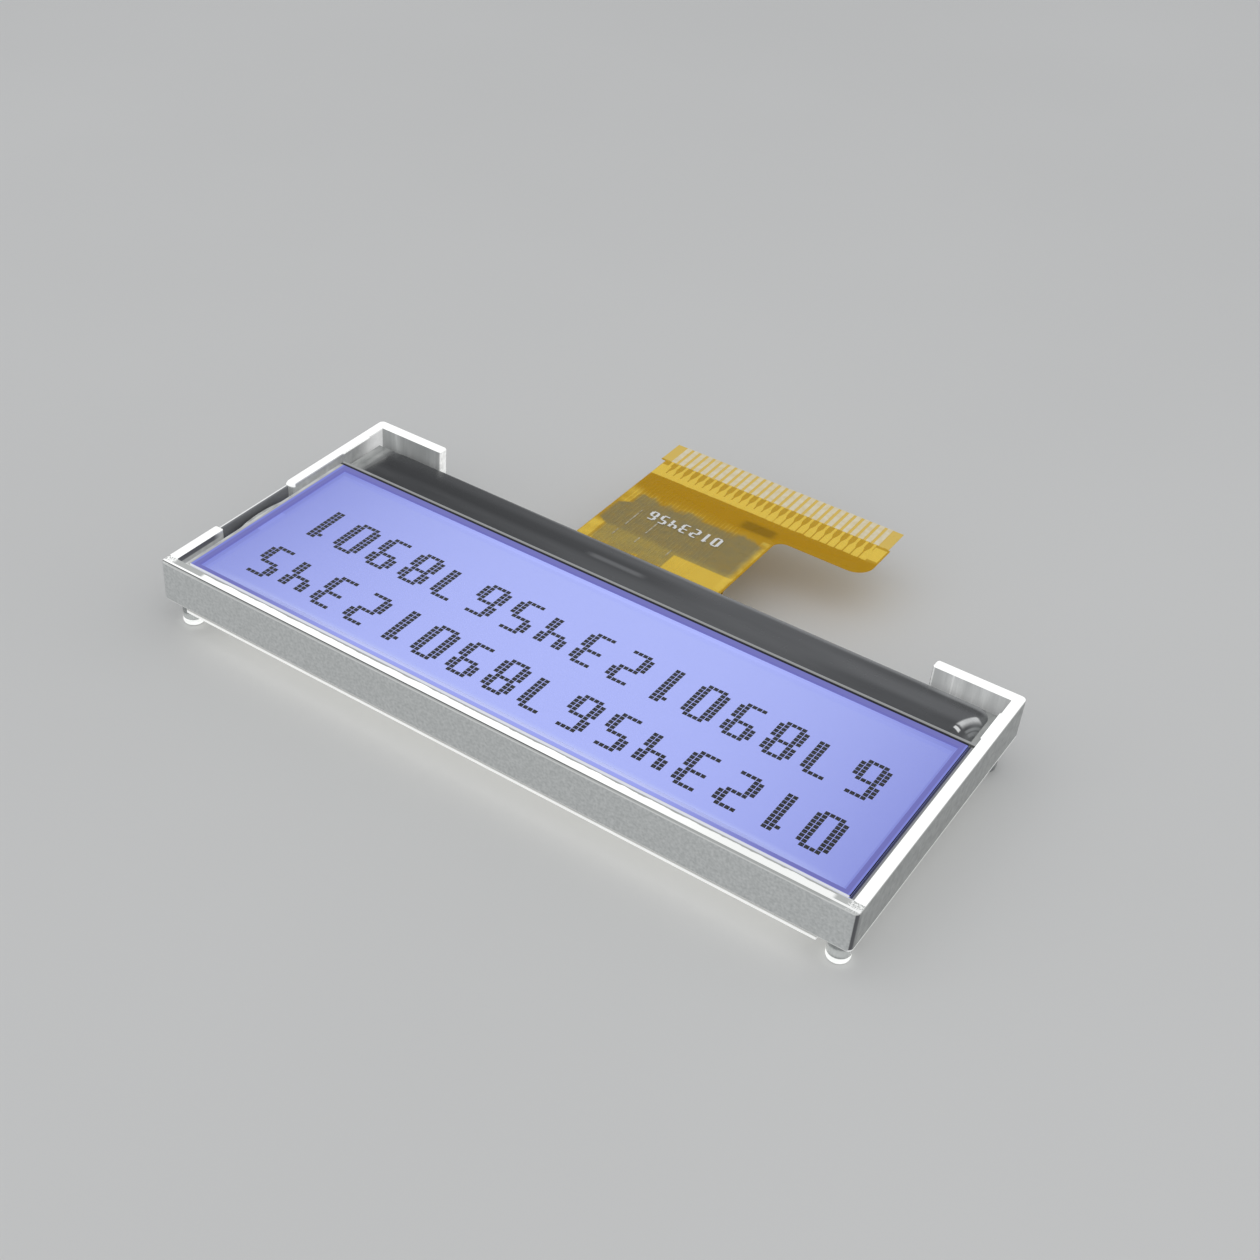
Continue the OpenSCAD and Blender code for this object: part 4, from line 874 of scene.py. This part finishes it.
TIN = srgb(190, 190, 192), srgb(216, 216, 218), 3.0, (0.2, 0.4), 0.3
BOND = srgb(180, 170, 140), srgb(192, 182, 150), 2.0
PAD_GOLD = srgb(242, 224, 178), srgb(252, 243, 218), 2.0, (0.3, 0.45), 0.2
COPPER_FAN, COPPER_OLIVE = srgb(216, 170, 34), srgb(170, 156, 111)
CAD_FINISHES = {
    "front_glass": front_pane(),
    "rear_glass": rear_pane(),
    "cell_seal": lit_from_behind("lit_seal", srgb(132, 139, 214)),
    "end_seal": plug_glue(),
    "rear_polariser": plain("rear_film", srgb(90, 92, 130), srgb(100, 102, 140), 0.5),
    "diffuser_film": plain("white_diffuser", srgb(235, 238, 245), srgb(243, 245, 250), 0.5),
    "reflector_sheet": glowing("white_reflector", srgb(244, 244, 242), srgb(250, 250, 248), 0.35),
    "reflector_tape": plain("white_tape", srgb(232, 232, 228), srgb(242, 242, 238), 0.5),
    "ledge_tape": plain("black_foam", srgb(28, 28, 30), srgb(40, 40, 42), 2.0, (0.8, 0.95), 0.5),
    "led_flex": plain("amber_strip", srgb(196, 150, 50), srgb(214, 172, 66), 0.6, (0.25, 0.4)),
    "led_housings": plain("led_white", srgb(238, 238, 232), srgb(248, 248, 244), 1.0),
    "led_phosphors": plain("led_yellow", srgb(240, 220, 90), srgb(250, 234, 120), 2.0),
    "led_solder": plain("tin_solder", *TIN, Metallic=1.0),
    "tail_solder": plain("tin_joint", *TIN, Metallic=1.0),
    "driver_chip": plain("grey_silicon", srgb(84, 86, 92), srgb(98, 100, 106), 1.0, (0.1, 0.2)),
    "chip_bond": plain("chip_bond_film", *BOND),
    "flex_bond": plain("flex_bond_film", *BOND),
    "flex_base": flex_film("amber_base", srgb(240, 206, 106), FLEX_DARK, FLEX_DARK, srgb(162, 148, 103)),
    "flex_copper": flex_film("bright_copper", FLEX_LIGHT, FLEX_LIGHT, COPPER_FAN, COPPER_OLIVE),
    "flex_pads": plain("gold_pads", *PAD_GOLD, Metallic=0.1),
    "flex_marking": plain("white_ink", srgb(238, 238, 236), srgb(248, 248, 246), 4.0),
}
for name, material in CAD_FINISHES.items():
    nodes[name].data.materials.clear()
    nodes[name].data.materials.append(material)


# Floor, light and camera

LAMP_SIZE, SKY_STRENGTH = 1.4, 0.45


def studio():
    """A pale floor under the pegs, a soft sky and two large soft lamps."""
    size, gap = 3.0, 0.00002
    z = FRAME_LO[2] * MM - gap
    corners = [(x, y, z) for x, y in rectangle(-size, -size, size, size)]
    mesh = bpy.data.meshes.new("floor")
    mesh.from_pydata(corners, [], [(0, 1, 2, 3)])
    floor = bpy.data.objects.new("floor", mesh)
    bpy.context.scene.collection.objects.link(floor)
    mesh.materials.append(plain("pale_floor", (0.72, 0.72, 0.71), (0.75, 0.75, 0.74), 0.01, (0.5, 0.6), 0.0))
    world = bpy.data.worlds.new("soft_sky")
    bpy.context.scene.world = world
    world.use_nodes = True
    sky = world.node_tree.nodes["Background"]
    sky.inputs["Color"].default_value = (0.95, 0.97, 1.0, 1.0)
    sky.inputs["Strength"].default_value = SKY_STRENGTH
    for name, place, power in (("key_lamp", (0.05, 0.5, 0.6), 2.9), ("far_lamp", (-0.5, -0.35, 0.7), 1.8)):
        lamp = bpy.data.lights.new(name, "AREA")
        lamp.size, lamp.energy = LAMP_SIZE, power
        obj = bpy.data.objects.new(name, lamp)
        obj.matrix_world = aimed(np.array(place))
        bpy.context.scene.collection.objects.link(obj)


def aimed(place):
    """A matrix at place whose -Z axis points at the module's middle."""
    back = place / np.linalg.norm(place)
    right = np.cross((0, 0, 1), back)
    right /= np.linalg.norm(right)
    return posed(right, np.cross(back, right), back, place)


def posed(right, up, back, place):
    m = np.eye(4)
    m[:3, :4] = np.column_stack([right, up, back, place])
    return Matrix(m.tolist())


def photo_camera():
    """The camera of the photograph: its place, axes and focal length, in pixels of a 1260 pixel frame."""
    image, focal, middle = 1260, 1763.1, 560.0
    place = np.array([-60.470, 97.789, 93.438]) * MM
    right = np.array([-0.819462, -0.570877, 0.050806])
    up = np.array([0.384726, -0.482209, 0.787058])
    camera = bpy.data.cameras.new("photo_camera")
    camera.sensor_width = 36.0
    camera.lens = camera.sensor_width * focal / image
    camera.shift_x = (image / 2 - middle) / image
    camera.clip_start = 0.005
    obj = bpy.data.objects.new("photo_camera", camera)
    obj.matrix_world = posed(right, up, np.cross(right, up), place)
    bpy.context.scene.collection.objects.link(obj)
    bpy.context.scene.camera = obj


studio()
photo_camera()
bpy.context.scene.view_settings.view_transform = "Standard"
